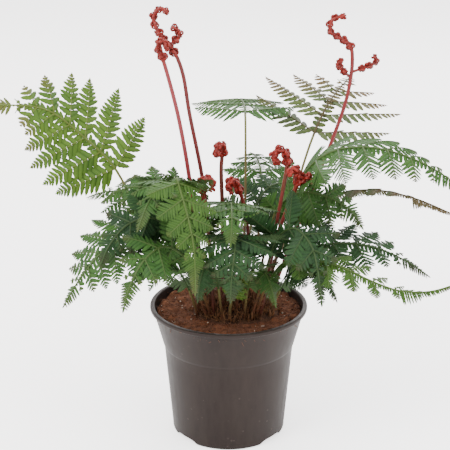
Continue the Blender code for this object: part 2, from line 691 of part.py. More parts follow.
def grow_blade(frond, seed, trees):
    """A frond's blade: a three-sided rachis with a pinna on each side at each station."""
    draw = random.Random(seed)
    path = Path(frond["route"])
    start = path.knot(frond["foot"]) + GAP
    length = path.length - start
    shares = stations(frond["pairs"])
    shell = Shell()
    own_pinnae = []
    bearer = tube(path, spaced(start, path.length, 3.0), RACHIS_HALF_WIDTH).tree()

    def frame(distance):
        heading = path.heading(distance)
        face = np.array(frond["face"], float)
        face = unit(face - heading * np.dot(face, heading))
        return path.at(distance), heading, np.cross(face, heading), face

    def ring(distance):
        centre, _, side, face = frame(distance)
        share = (distance - start) / length
        width = blend(RACHIS_HALF_WIDTH, share)
        return [shell.add(centre + width * side), shell.add(centre + blend(RACHIS_HEIGHT, share) * face),
                shell.add(centre - width * side)]

    def join(low, high):
        for k in range(3):
            after = (k + 1) % 3
            shell.faces.append((low[k], low[after], high[after]))
            shell.faces.append((low[k], high[after], high[k]))

    def graft(pinna, corners):
        numbers = list(corners) + [shell.add(p) for p in pinna.points[3:]]
        shell.faces += [tuple(numbers[v] for v in face) for face in pinna.faces]

    last = ring(start)
    shell.faces.append(tuple(last))
    for index, share in enumerate(shares):
        distance = start + max(length * share, MOUTH + GAP)
        centre, heading, side, face = frame(distance)
        mouth = MOUTH * blend((1.0, 0.7), share)
        low = ring(distance - mouth)
        top = shell.add(centre + blend(RACHIS_HEIGHT, share) * face)
        high = ring(distance + mouth)
        join(last, low)
        shell.faces += [(low[0], low[2], high[2]), (low[0], high[2], high[0])]
        nearest = min(abs(share - other) for other in shares if other != share) * length
        for sign, a, b in ((1, low[0], high[0]), (-1, high[2], low[2])):
            shell.faces += [(a, top, low[1] if sign > 0 else high[1]),
                            (b, high[1] if sign > 0 else low[1], top)]
            angle = math.radians(blend(PINNA_ANGLE, share) + draw.uniform(-2, 2))
            out = math.cos(angle) * heading + math.sin(angle) * side * sign
            reach = frond["reach"] * pinna_length(share) * draw.uniform(0.93, 1.04)
            half_width = min(0.5 * nearest * math.sin(angle) * ROOM, SLIMNESS * reach)
            hang = frond["droop"] + draw.uniform(-0.07, 0.07)
            fall = DOWN - heading * np.dot(DOWN, heading)
            tilt = unit(blend((face, -DOWN), frond.get("louver", 0.0)))
            tilt = unit(tilt - out * np.dot(tilt, out))
            root = (shell.points[a] + shell.points[b]) / 2

            def side_room(distance_out, wing, sign=sign, angle=angle):
                if wing == sign:
                    return 1e3
                return max(0.5, (distance_out * math.sin(angle) - 0.9) / math.cos(angle))

            corners = [shell.points[a], shell.points[top], shell.points[b]]
            for stretch, extra in WAYS_ROUND:
                pinna = grow_pinna(corners, side_room, root, out, tilt, fall * (hang + extra),
                                   reach * stretch, half_width)
                if reach > SHORTEST_PINNA and is_clear(pinna, tilt, trees + own_pinnae, bearer):
                    graft(pinna, (a, top, b))
                    own_pinnae.append(pinna.tree())
                    break
            else:
                shell.faces.append((a, b, top))
        last = high
    tip = (path.length - distance - mouth) * (1 - NECK)
    neck = ring(path.length - tip)
    join(last, neck)
    end, heading, side, face = frame(path.length - tip)
    for slimness in TIP_SLIMNESS:
        terminal = grow_pinna([shell.points[corner] for corner in neck], lambda out, wing: 1e3, end,
                              unit(path.at(path.length) - end), face, np.zeros(3), tip, tip * slimness)
        if not any(terminal.tree().overlap(tree) for tree in own_pinnae):
            break
    graft(terminal, neck)
    return shell


def make_crozier(name, crozier, finish):
    """A red stem that ends in a coil of buds."""
    path = Path(crozier["route"])
    start, coil_start = path.knot(crozier["red"]) + GAP, path.knot(crozier["coil"])
    feet = [path.nearest(branch[0]) for branch in crozier["branches"]]
    distances = spaced(start, coil_start, STEM_STEP)[:-1] + spaced(coil_start, path.length, COIL_STEP)
    stem = make_object(name, tube(path, sorted(distances + feet), (CROZIER_RADIUS, 1.2)), finish)
    pieces = []
    coils = [(path, coil_start)]
    for branch in crozier["branches"]:
        side = Path(branch)
        pieces.append(tube(side, spaced(0, side.length, COIL_STEP), (1.1, 0.9)))
        coils.append((side, side.length * 0.45))
    for coil, begin in coils:
        places = spaced(begin, coil.length, BUD_PITCH)
        for index, distance in enumerate(places):
            swing = BUD_SWING if index % 2 else -BUD_SWING
            pieces.append(bud(coil.at(distance) + np.array([0, swing, 0]),
                              crozier["bud"] * (1 - 0.2 * index / len(places))))
    combine(stem, pieces, "UNION", "MANIFOLD")
    return stem


def rachis_tree(frond):
    """The search tree of a frond's bare rachis, which the pinnae of all others keep clear of."""
    path = Path(frond["route"])
    return tube(path, spaced(path.knot(frond["foot"]), path.length, RACHIS_STEP), RACHIS_WAY).tree()


def placed_tree(item):
    """The search tree of a finished object, in millimetres."""
    points = [tuple(np.array(v.co) / MM) for v in item.data.vertices]
    return BVHTree.FromPolygons(points, [tuple(f.vertices) for f in item.data.polygons])


def build():
    for item in list(bpy.data.objects):
        bpy.data.objects.remove(item)
    make_pot()
    make_potting_mix()
    stems = [(Path(f["route"]), f["foot"], STIPE_RADIUS) for f in FRONDS.values()]
    stems += [(Path(c["route"]), c["red"], CROZIER_RADIUS) for c in CROZIERS.values()]
    placed = [make_crown(stems)]
    red = (0.42, 0.09, 0.06)
    for name, crozier in CROZIERS.items():
        placed.append(make_crozier(name, crozier, material(name, red, 0.55)))
    trees = [placed_tree(item) for item in placed]
    rachises = {name: rachis_tree(frond) for name, frond in FRONDS.items()}
    for seed, (name, frond) in enumerate(FRONDS.items()):
        others = [tree for other, tree in rachises.items() if other != name]
        shell = grow_blade(frond, seed, trees + others)
        make_object("frond_" + name, shell, material("frond_" + name, TONES[frond["tone"]], 0.5))
        trees.append(shell.tree())


build()
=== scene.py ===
# %% [markdown]
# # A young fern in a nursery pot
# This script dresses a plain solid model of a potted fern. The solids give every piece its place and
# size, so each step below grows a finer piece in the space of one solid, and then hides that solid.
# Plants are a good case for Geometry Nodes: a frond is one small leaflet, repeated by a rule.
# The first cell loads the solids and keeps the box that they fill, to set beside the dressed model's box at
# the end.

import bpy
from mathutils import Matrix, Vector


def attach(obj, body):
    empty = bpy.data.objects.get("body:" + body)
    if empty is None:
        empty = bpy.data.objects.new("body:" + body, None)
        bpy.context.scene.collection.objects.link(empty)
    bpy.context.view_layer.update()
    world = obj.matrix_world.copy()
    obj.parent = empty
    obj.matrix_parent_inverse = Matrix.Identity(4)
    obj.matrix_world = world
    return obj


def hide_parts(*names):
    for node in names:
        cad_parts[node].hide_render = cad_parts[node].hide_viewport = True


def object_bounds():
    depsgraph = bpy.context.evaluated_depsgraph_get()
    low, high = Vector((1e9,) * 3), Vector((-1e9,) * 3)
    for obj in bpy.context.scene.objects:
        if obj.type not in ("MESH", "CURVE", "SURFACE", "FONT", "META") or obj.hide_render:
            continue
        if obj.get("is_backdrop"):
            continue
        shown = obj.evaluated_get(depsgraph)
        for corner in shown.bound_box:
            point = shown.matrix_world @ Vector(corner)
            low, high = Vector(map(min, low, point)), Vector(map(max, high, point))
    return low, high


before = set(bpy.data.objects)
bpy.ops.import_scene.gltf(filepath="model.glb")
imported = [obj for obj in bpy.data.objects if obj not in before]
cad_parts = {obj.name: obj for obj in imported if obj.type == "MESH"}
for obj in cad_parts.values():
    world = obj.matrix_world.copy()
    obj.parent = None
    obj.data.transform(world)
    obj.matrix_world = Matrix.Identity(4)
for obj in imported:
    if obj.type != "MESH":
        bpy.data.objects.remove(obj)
cad_low, cad_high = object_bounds()
print("solids:", len(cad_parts))

# %% Modules and units
import math
import random

import bmesh
import bpy
import numpy as np
from mathutils import Vector, kdtree, noise

MM = 0.001  # the tables below are in millimetres, and meshes are in metres


def box_size(low, high):
    """The width, depth and height of a box, in whole millimetres."""
    return [round((b - a) / MM) for a, b in zip(low, high)]


print("box of the solids in mm:", box_size(cad_low, cad_high))

# %% [markdown]
# ## Camera and light
# The photograph was taken a little above the pot, from nearly a metre away, with a long lens. The
# camera's place was worked out from the two ellipses of the pot, its rim and its foot. The light
# there is soft and comes from all round, a little stronger from the upper left, so a pale sky does
# most of the work. Two large area lights in front give the satin pot its long highlights, and one
# behind it lights the far fronds. A very bright sky would wash over the thin leaflets in the
# picture, so how bright the sky looks is set apart from how much light it gives.

# %% Camera
CAMERA_PLACE = (-0.003, -0.918, 0.507)
CAMERA_DOWN = 19.6  # degrees below level
LENS, SENSOR = 96.4, 36.0  # millimetres

camera_data = bpy.data.cameras.new("camera")
camera_data.lens, camera_data.sensor_width = LENS, SENSOR
camera = bpy.data.objects.new("camera", camera_data)
camera.location = CAMERA_PLACE
camera.rotation_euler = (math.radians(90 - CAMERA_DOWN), 0, 0)
bpy.context.scene.collection.objects.link(camera)
bpy.context.scene.camera = camera
print("camera looks down by", CAMERA_DOWN, "degrees")

# %% Lights
PALE = (1.0, 0.985, 0.98, 1)
SKY_LIGHT, SKY_SEEN = 2.2, 3.2  # how strongly the sky lights things, and how bright it looks itself


def area_light(name, place, aim, size, power, colour):
    """A square soft light that looks at a point."""
    data = bpy.data.lights.new(name, "AREA")
    data.shape, data.size, data.energy, data.color = "SQUARE", size, power, colour
    light = bpy.data.objects.new(name, data)
    light.location = place
    light.rotation_euler = (Vector(aim) - Vector(place)).to_track_quat("-Z", "Y").to_euler()
    bpy.context.scene.collection.objects.link(light)


area_light("key", (-1.1, -0.9, 1.5), (0, 0, 0.15), size=0.9, power=42, colour=(1.0, 0.98, 0.95))
area_light("fill", (1.3, -0.5, 0.9), (0, 0, 0.1), size=1.0, power=16, colour=(0.95, 0.97, 1.0))
area_light("back", (0.2, 1.4, 1.3), (0, 0, 0.2), size=1.2, power=22, colour=(1.0, 1.0, 1.0))

world = bpy.data.worlds.new("pale sky")
world.use_nodes = True
sky = world.node_tree.nodes["Background"].inputs
sky["Color"].default_value = PALE
seen = world.node_tree.nodes.new("ShaderNodeLightPath")
level = world.node_tree.nodes.new("ShaderNodeMapRange")
level.inputs["To Min"].default_value, level.inputs["To Max"].default_value = SKY_LIGHT, SKY_SEEN
world.node_tree.links.new(seen.outputs["Is Camera Ray"], level.inputs["Value"])
world.node_tree.links.new(level.outputs["Result"], sky["Strength"])
bpy.context.scene.world = world
print("area lights:", len(bpy.data.lights))

# %% [markdown]
# ## Small helpers
# Node trees get long when each node takes four lines, so one helper adds a node and wires it in
# the same call, and another starts a tree with its named inputs. The mesh helpers make an object
# from points and turn its faces outwards. The last ones run a Geometry Nodes tree on an object and
# keep the result as a plain mesh, since only plain meshes can be exported, and hang a finished piece
# on the root and hide the solids it replaces.


# %% Wiring nodes
def outlet(source):
    """The first output in use of a node, or the socket that was given."""
    if isinstance(source, bpy.types.Node):
        return next(socket for socket in source.outputs if socket.enabled)
    return source


def add(tree, kind, wires=None, **settings):
    """Add a node. settings are its properties; wires fill its inputs, by name or number."""
    made = tree.nodes.new(kind)
    for name, value in settings.items():
        setattr(made, name, value)
    for key, value in (wires or {}).items():
        if isinstance(key, int):
            socket = made.inputs[key]
        else:
            socket = next(s for s in made.inputs if s.enabled and s.name == key)
        if isinstance(value, (bpy.types.Node, bpy.types.NodeSocket)):
            tree.links.new(outlet(value), socket)
        else:
            socket.default_value = value
    return made


def new_tree(name, kind, inputs, outputs):
    """A node group with named inputs (name, socket type, value) and outputs (name, socket type)."""
    tree = bpy.data.node_groups.new(name, kind)
    for label, socket_type, value in inputs:
        socket = tree.interface.new_socket(label, in_out="INPUT", socket_type="NodeSocket" + socket_type)
        if value is not None:
            socket.default_value = value
    for label, socket_type in outputs:
        tree.interface.new_socket(label, in_out="OUTPUT", socket_type="NodeSocket" + socket_type)
    return tree, tree.nodes.new("NodeGroupInput").outputs, tree.nodes.new("NodeGroupOutput").inputs


# %% Mesh helpers
def mesh_object(name, points, edges=(), faces=()):
    """An object at the origin from points in millimetres."""
    mesh = bpy.data.meshes.new(name)
    mesh.from_pydata([tuple(np.asarray(p, float) * MM) for p in points], edges, faces)
    made = bpy.data.objects.new(name, mesh)
    bpy.context.scene.collection.objects.link(made)
    return made


def face_outwards(mesh):
    """Turn the faces of a closed mesh outwards."""
    work = bmesh.new()
    work.from_mesh(mesh)
    bmesh.ops.recalc_face_normals(work, faces=work.faces)
    if work.calc_volume(signed=True) < 0:
        bmesh.ops.reverse_faces(work, faces=work.faces)
    work.to_mesh(mesh)
    work.free()


def stencil(made):
    """Take a smooth shape off the scene, because it is only there to be copied by a tree."""
    bpy.context.scene.collection.objects.unlink(made)
    made.data.shade_smooth()
    return made


def triangles(piece):
    """How many triangles the faces of a piece come to."""
    return sum(len(face.vertices) - 2 for face in piece.data.polygons)


# %% Helpers for pieces
def apply_modifiers(host):
    """Keep what an object's modifiers make as its plain mesh."""
    view = bpy.context.evaluated_depsgraph_get()
    mesh = bpy.data.meshes.new_from_object(host.evaluated_get(view), preserve_all_data_layers=True,
                                           depsgraph=view)
    host.modifiers.clear()
    host.data = mesh
    mesh.name = host.name


def run_tree(host, tree, settings):
    """Run a Geometry Nodes tree on a host object, and leave the result as its plain mesh."""
    modifier = host.modifiers.new(tree.name, "NODES")
    modifier.node_group = tree
    for item in tree.interface.items_tree:
        if item.item_type == "SOCKET" and item.in_out == "INPUT" and item.name in settings:
            modifier[item.identifier] = settings[item.name]
    apply_modifiers(host)
    return host


def finish_piece(piece, slot, *nodes):
    """Hang a finished piece on the root body and hide the solids that it stands for. slot is not used."""
    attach(piece, "root")
    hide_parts(*nodes)
    print(piece.name, "has", triangles(piece), "triangles")


# %% [markdown]
# ## Where the plant stands
# Every stem follows a smooth curve through a few points, root first. These are the same points
# as the solid model's, so that what grows here lies where the solids are. For a frond, foot is the
# point where its green blade starts, face is the way its upper side looks, pairs counts its pairs
# of pinnae (the side branches of the blade), reach is the longest of them and droop how far
# they hang. louver turns each pinna level, and slot names its finish.

# %% Fronds
FRONDS = {
    "upper_left": dict(
        route=[(-18, 4, 102), (-30, 8, 130), (-52, 14, 162), (-78, 20, 195), (-94, 22, 223),
               (-118, 18, 250), (-145, 8, 274), (-190, -8, 282)],
        foot=3.8, face=(0.15, -0.75, 0.65), pairs=9, reach=60, droop=0.15, slot="bright"),
    "upper_right": dict(
        route=[(22, 10, 102), (48, 40, 160), (62, 60, 208), (72, 74, 234),
               (84, 98, 252), (96, 122, 262), (111, 152, 269)],
        foot=3, face=(0, -0.5, 0.8), pairs=6, reach=74, droop=0.1, louver=0.85, slot="olive"),
    "right_big": dict(
        route=[(24, -6, 102), (45, -18, 181), (57, -28, 230), (77, -38, 252),
               (105, -52, 260), (135, -64, 255), (162, -74, 242), (185, -80, 222)],
        foot=1.8, face=(0.1, -0.2, 1), pairs=10, reach=52, droop=0.6, slot="mid"),
    "upper_centre": dict(
        route=[(6, 12, 102), (13, 28, 161), (14, 38, 215), (14, 46, 243),
               (14, 66, 255), (13, 104, 256), (9, 148, 248), (5, 184, 234)],
        foot=4, face=(0, 0.2, 1), pairs=8, reach=52, droop=0.15, slot="mid"),
    "left_droop": dict(
        route=[(-22, -8, 102), (-36, -20, 156), (-52, -32, 181), (-72, -44, 188),
               (-94, -54, 180), (-113, -62, 160), (-128, -67, 136)],
        foot=2.3, face=(-0.2, -0.4, 1), pairs=8, reach=50, droop=0.35, slot="dark"),
    "left_mid": dict(
        route=[(-14, 10, 102), (-36, 24, 149), (-49, 34, 177), (-70, 48, 187),
               (-91, 60, 189), (-107, 68, 186), (-124, 76, 178)],
        foot=1.6, face=(-0.1, -0.3, 1), pairs=8, reach=48, droop=0.3, slot="dark"),
    "left_high": dict(
        route=[(-10, -12, 102), (-22, -22, 160), (-32, -26, 194), (-50, -27, 214),
               (-70, -23, 220), (-88, -17, 214), (-102, -12, 203)],
        foot=1.4, face=(-0.1, -0.5, 1), pairs=8, reach=46, droop=0.4, slot="mid"),
    "front_lime": dict(
        route=[(-12, -14, 102), (-22, -26, 165), (-32, -38, 218), (-39, -52, 236), (-36, -66, 230),
               (-30, -79, 212), (-26, -88, 193), (-25, -93, 175), (-25, -96, 158)],
        foot=2.5, face=(0.1, 0, 1), pairs=9, reach=32, droop=0.2, slot="bright"),
    "front_centre": dict(
        route=[(6, -14, 102), (8, -34, 160), (7, -52, 189), (5, -68, 194),
               (4, -82, 186), (2, -91, 171), (1, -96, 152)],
        foot=1.7, face=(0, 0, 1), pairs=8, reach=42, droop=0.25, slot="dark"),
    "right_edge": dict(
        route=[(28, 2, 102), (39, 8, 164), (48, 8, 192), (78, 8, 202),
               (114, 6, 208), (147, 2, 203), (184, -4, 189)],
        foot=1.5, face=(0, 0.35, 0.94), pairs=10, reach=34, droop=0.1, slot="mid"),
    "right_dark": dict(
        route=[(24, -12, 102), (38, -20, 144), (56, -26, 165), (84, -32, 176),
               (113, -38, 175), (137, -42, 166), (158, -44, 152)],
        foot=1.4, face=(0, -0.3, 1), pairs=8, reach=46, droop=0.3, slot="dark"),
    "right_low": dict(
        route=[(20, -16, 102), (32, -42, 149), (48, -58, 173), (83, -76, 174),
               (107, -86, 166), (127, -92, 161), (148, -98, 163), (168, -104, 172)],
        foot=1.4, face=(0, -0.2, 1), pairs=9, reach=30, droop=0.3, slot="bright"),
    "front_right": dict(
        route=[(17, -20, 102), (28, -36, 150), (38, -50, 188), (50, -64, 200),
               (61, -78, 192), (66, -90, 174), (69, -97, 150)],
        foot=1.4, face=(0.3, -1, 0.45), pairs=8, reach=42, droop=0.25, slot="dark"),
    "front_left": dict(
        route=[(-13, -14, 102), (-25, -38, 148), (-36, -56, 176), (-50, -74, 189),
               (-63, -90, 184), (-73, -102, 168), (-78, -108, 150)],
        foot=1.3, face=(-0.25, -1, 0.6), pairs=8, reach=44, droop=0.3, slot="mid"),
    "centre_high": dict(
        route=[(0, 0, 102), (-2, -2, 160), (3, -10, 197), (2, -28, 208),
               (2, -50, 210), (2, -70, 205), (1, -86, 193)],
        foot=1.8, face=(0, -0.5, 1), pairs=7, reach=44, droop=0.3, slot="mid"),
    "seedling": dict(
        route=[(2, -26, 102), (1, -30, 118), (3, -33, 131), (7, -37, 143), (12, -41, 152)],
        foot=2, face=(0, -0.8, 0.6), pairs=4, reach=12, droop=0.1, slot="bright"),
    "left_inner": dict(
        route=[(-8, -10, 102), (-22, -16, 160), (-32, -22, 202), (-40, -34, 226),
               (-50, -52, 232), (-60, -70, 222), (-68, -84, 204)],
        foot=2.0, face=(-0.1, 0, 1), pairs=7, reach=40, droop=0.3, slot="mid"),
    "right_mid": dict(
        route=[(20, -4, 102), (29, -8, 160), (40, -12, 200), (56, -16, 213),
               (76, -20, 211), (94, -24, 202), (106, -28, 186)],
        foot=1.8, face=(0.1, -0.8, 0.7), pairs=7, reach=38, droop=0.35, slot="mid"),
    "centre_dark": dict(
        route=[(8, 6, 102), (16, 14, 160), (23, 26, 188), (34, 38, 200),
               (50, 48, 200), (66, 56, 190)],
        foot=1.6, face=(0, -0.2, 1), pairs=6, reach=36, droop=0.3, slot="dark"),
    "left_front": dict(
        route=[(-16, -16, 102), (-30, -30, 150), (-44, -44, 190), (-59, -54, 205),
               (-76, -60, 202), (-90, -68, 188), (-98, -72, 170)],
        foot=1.7, face=(-0.2, -0.9, 0.6), pairs=7, reach=38, droop=0.3, slot="dark"),
    "back_centre": dict(
        route=[(12, 9, 102), (24, 40, 148), (28, 56, 186), (28, 80, 200),
               (25, 118, 203), (20, 156, 196)],
        foot=2.2, face=(0, 0.2, 1), pairs=7, reach=36, droop=0.3, slot="mid"),
    "back_left": dict(
        route=[(-4, 9, 102), (-28, 56, 142), (-41, 82, 162), (-58, 112, 174),
               (-73, 136, 176), (-90, 160, 170), (-102, 178, 158)],
        foot=2, face=(-0.1, 0.2, 1), pairs=8, reach=38, droop=0.35, slot="dark"),
    "back_right": dict(
        route=[(19, 5, 102), (44, 52, 136), (58, 84, 153), (76, 114, 158),
               (95, 140, 152), (114, 164, 138)],
        foot=2, face=(0.1, 0.2, 1), pairs=8, reach=36, droop=0.35, slot="dark"),
    "back_low": dict(
        route=[(4, 10, 102), (6, 46, 130), (8, 72, 140), (10, 98, 142),
               (11, 126, 134), (11, 150, 119), (10, 168, 101)],
        foot=2, face=(0, 0.2, 1), pairs=8, reach=34, droop=0.4, slot="dark"),
    "low_left": dict(
        route=[(-24, -12, 102), (-34, -26, 140), (-44, -36, 160), (-56, -44, 168),
               (-68, -50, 162), (-78, -55, 147)],
        foot=0.8, face=(0.1, 0.1, 1), pairs=6, reach=32, droop=0.3, slot="dark"),
    "low_centre": dict(
        route=[(-5, -22, 102), (-9, -36, 146), (-13, -48, 165), (-18, -60, 168),
               (-22, -70, 159), (-24, -77, 144)],
        foot=0.8, face=(0, 0.2, 1), pairs=6, reach=30, droop=0.3, slot="dark"),
    "low_middle": dict(
        route=[(12, -22, 102), (16, -34, 144), (21, -46, 162), (27, -58, 164),
               (32, -68, 155), (36, -76, 140)],
        foot=0.8, face=(0, 0.2, 1), pairs=6, reach=30, droop=0.3, slot="mid"),
    "low_right": dict(
        route=[(31, -12, 102), (44, -23, 138), (54, -34, 156), (65, -45, 161),
               (76, -54, 153), (84, -61, 138)],
        foot=0.8, face=(-0.1, 0.1, 1), pairs=6, reach=32, droop=0.3, slot="dark"),
}
print("fronds:", len(FRONDS))

# %% [markdown]
# A crozier is a frond that is still coiled. It is brown up to the point red, and its buds start at
# the point coil. bud is the size of the largest ones. Each branch is a short side coil.

# %% Croziers
CROZIERS = {
    "crozier_left": dict(
        route=[(-20, -4, 102), (-26, -6, 169), (-31, -8, 221), (-39, -8, 271), (-46, -8, 301),
               (-51, -8, 319), (-54, -9, 327), (-52, -10, 332), (-48, -10, 330), (-47, -10, 325)],
        red=1, coil=5, bud=2.8, branches=[]),
    "crozier_tall_left": dict(
        route=[(-13, 2, 102), (-16, 2, 166), (-21, 2, 218), (-31, 2, 273), (-36, 2, 305),
               (-42, 1, 321), (-50, 0, 331), (-56, 0, 341), (-57, 0, 350), (-52, 0, 355),
               (-47, 0, 352)],
        red=1, coil=5, bud=2.8,
        branches=[[(-46, 0, 327), (-40, 1, 331), (-38, 1, 337), (-42, 1, 340)]]),
    "crozier_tall_right": dict(
        route=[(31, 5, 102), (46, 14, 143), (64, 22, 191), (84, 26, 244), (95, 26, 281),
               (98, 26, 310), (96, 26, 321), (90, 26, 326), (83, 25, 330), (79, 24, 336),
               (82, 24, 343), (90, 24, 345)],
        red=1, coil=6, bud=2.6,
        branches=[[(97, 26, 296), (90, 24, 302), (86, 23, 308), (90, 22, 311)],
                  [(98, 26, 300), (108, 26, 304), (117, 25, 309), (115, 24, 313)]]),
    "crozier_mid": dict(
        route=[(-5, -12, 102), (-5, -12, 163), (-5, -12, 195), (-6, -12, 232), (-5, -13, 245),
               (-5, -16, 252), (-9, -20, 252), (-10, -21, 244)],
        red=2, coil=4, bud=2.8, branches=[]),
    "crozier_mid_left": dict(
        route=[(-12, -18, 102), (-15, -28, 169), (-19, -32, 208), (-21, -34, 222), (-19, -37, 231),
               (-13, -39, 231), (-13, -39, 223)],
        red=2, coil=3, bud=2.9, branches=[]),
    "crozier_mid_right": dict(
        route=[(9, -6, 102), (16, -8, 162), (13, -8, 195), (8, -9, 213), (3, -11, 222),
               (-1, -13, 218), (2, -14, 212)],
        red=2, coil=3, bud=2.8, branches=[]),
    "crozier_brown": dict(
        route=[(26, -14, 102), (34, -22, 167), (42, -26, 218), (45, -28, 242), (43, -29, 250),
               (37, -30, 252), (34, -31, 246), (38, -31, 242)],
        red=2, coil=3, bud=2.8, branches=[]),
    "crozier_open": dict(
        route=[(24, -18, 102), (37, -34, 180), (47, -42, 215), (52, -46, 231), (52, -49, 240),
               (48, -51, 244), (45, -52, 238)],
        red=2, coil=3, bud=2.6,
        branches=[[(51, -46, 228), (57, -47, 234), (62, -47, 237), (62, -47, 232)]]),
}
print("croziers:", len(CROZIERS))

# %% [markdown]
# A stem is read by the distance along its curve. Blender's own curves could do this, but the
# leaflets below need the curve's place, heading and length in plain numbers, so a short class
# computes a Catmull-Rom spline, which passes through each of its points.


# %% Paths
def unit(vector):
    """The vector at length one."""
    return vector / np.linalg.norm(vector)


def mix(ends, share):
    """The value a share of the way from the first of two ends to the second."""
    return ends[0] + (ends[1] - ends[0]) * share


class Path:
    """A smooth curve through given points, read by the distance along it."""

    STEPS = 14

    def __init__(self, route):
        ends = np.array(route, float)
        ends = np.vstack([2 * ends[0] - ends[1], ends, 2 * ends[-1] - ends[-2]])
        rows = [self.span(ends[i:i + 4], step / self.STEPS)
                for i in range(len(route) - 1) for step in range(self.STEPS)]
        self.points = np.array(rows + [ends[-2]])
        steps = np.linalg.norm(np.diff(self.points, axis=0), axis=1)
        self.along = np.concatenate([[0.0], np.cumsum(steps)])
        self.length = self.along[-1]

    @staticmethod
    def span(p, share):
        """A centripetal Catmull-Rom span from the second of four points to the third."""
        knots = np.concatenate([[0.0], np.cumsum(np.linalg.norm(np.diff(p, axis=0), axis=1) ** 0.5)])
        t = knots[1] + (knots[2] - knots[1]) * share
        level = list(p)
        for width in (1, 2):
            level = [((knots[i + width] - t) * level[i] + (t - knots[i]) * level[i + 1])
                     / (knots[i + width] - knots[i]) for i in range(len(level) - 1)]
        return ((knots[2] - t) * level[0] + (t - knots[1]) * level[1]) / (knots[2] - knots[1])

    def knot(self, index):
        """The distance at which the curve passes a route point, or a place between two."""
        return self.along[round(index * self.STEPS)]

    def at(self, distance):
        """The point at a distance along the curve."""
        return np.array([np.interp(distance, self.along, self.points[:, k]) for k in range(3)])

    def heading(self, distance):
        """The way the curve runs at a distance, taken over two millimetres."""
        return unit(self.at(min(distance + 1, self.length)) - self.at(max(distance - 1, 0)))


# %% [markdown]
# Geometry Nodes needs something to work on. Here that is a set of guide lines, the ribs: chains of
# edges with values stored at each point, such as how thick the rib is there. A tree reads them by
# name. Mesh attributes are the usual way to hand a plan that was made in Python to a node tree.


# %% Guide lines
class Ribs:
    """Chains of points in millimetres, with named values at each point."""

    VECTORS = ("up", "ahead")

    def __init__(self):
        self.points, self.edges, self.values = [], [], {}

    def line(self, points, **values):
        """Add one chain. Each value is a number for all its points, or a list of one for each."""
        start = len(self.points)
        self.points += list(points)
        self.edges += [(start + k, start + k + 1) for k in range(len(points) - 1)]
        for name, value in values.items():
            rows = value if isinstance(value, list) else [value] * len(points)
            self.values.setdefault(name, []).extend(rows)

    def follow(self, path, places, **values):
        """Add a chain along a path, at these distances, with the path's heading at each point."""
        self.line([path.at(d) for d in places], ahead=[path.heading(d) for d in places], **values)

    def object(self, name):
        """The chains as an object without faces, with the values as its attributes."""
        made = mesh_object(name, self.points, edges=self.edges)
        for key, rows in self.values.items():
            kind, field = ("FLOAT_VECTOR", "vector") if key in self.VECTORS else ("FLOAT", "value")
            layer = made.data.attributes.new(key, kind, "POINT")
            layer.data.foreach_set(field, np.array(rows, np.float32).ravel())
        return made


# %% [markdown]
# ## Leaf finish
# A fern leaf is a thin waxy skin with a pale rib and fine side veins. Its green is never even: young
# tips are yellower, old tips turn tan and brown, and the underside is duller and paler. All fronds
# share one node group for this, with its own greens in each material. The pattern follows the
# leaflet's own UV map, so each leaflet has its veins, and stored values tell how far up the
# frond it is and what chance tint it has.


# %% Shader node helpers
def named(tree, name):
    """Read a number stored on the mesh, in a shader tree."""
    return add(tree, "ShaderNodeAttribute", attribute_name=name).outputs["Fac"]


def blend_colour(tree, factor, first, second, how="MIX"):
    """Mix two colours, given as sockets or as values."""
    return add(tree, "ShaderNodeMix", {"Factor": factor, "A": first, "B": second},
               data_type="RGBA", blend_type=how).outputs[2]


def ramp(tree, source, start, end, low=0.0, high=1.0):
    """Stretch a value from start..end to low..high, and stop at the ends."""
    return add(tree, "ShaderNodeMapRange", {"Value": source, "From Min": start, "From Max": end,
                                            "To Min": low, "To Max": high})


def math_node(tree, how, *values):
    """A Math node with its inputs filled."""
    return add(tree, "ShaderNodeMath", dict(enumerate(values)), operation=how)


def plus(tree, first, second):
    """The sum of two values."""
    return math_node(tree, "ADD", first, second)


def times(tree, first, second):
    """The product of two values."""
    return math_node(tree, "MULTIPLY", first, second)


def rgba(colour):
    """A colour that is fully opaque."""
    return (*colour, 1.0)


def noise_at(tree, place, scale, detail=3.0, rough=0.55):
    """A noise value at a place, with features of about 1 / scale."""
    return add(tree, "ShaderNodeTexNoise", {"Vector": place, "Scale": scale, "Detail": detail,
                                            "Roughness": rough})


def surface_group(name, inputs):
    """Start a node group for a surface, which gives out its colour, roughness and height."""
    return new_tree(name, "ShaderNodeTree", inputs,
                    [("Color", "Color"), ("Roughness", "Float"), ("Height", "Float")])


def give_out(tree, result, colour, roughness, height):
    """Wire the three outputs of a surface."""
    for label, source in (("Color", colour), ("Roughness", roughness), ("Height", height)):
        tree.links.new(outlet(source), result[label])


# %% Leaf node group
MIDDLE_VEIN, SIDE_VEIN = 0.09, 0.16  # how broad each is drawn, in the leaflet's own chart
SIDE_VEINS, VEIN_SLANT = 6.0, 5.0  # how many there are, and how far they lean towards the tip
PATCHES, MOTTLE = 38.0, 420.0  # features to a metre, or about 26 and 2.4 mm each
TURNING = 0.32  # how far beyond the start a tip has turned fully
UNDERSIDE = rgba((0.10, 0.15, 0.06))
# painted shade, multiplied into each leaflet's edge as a dark line where leaflets meet
EDGE_PAINTED_SHADE = rgba((0.22, 0.28, 0.25))


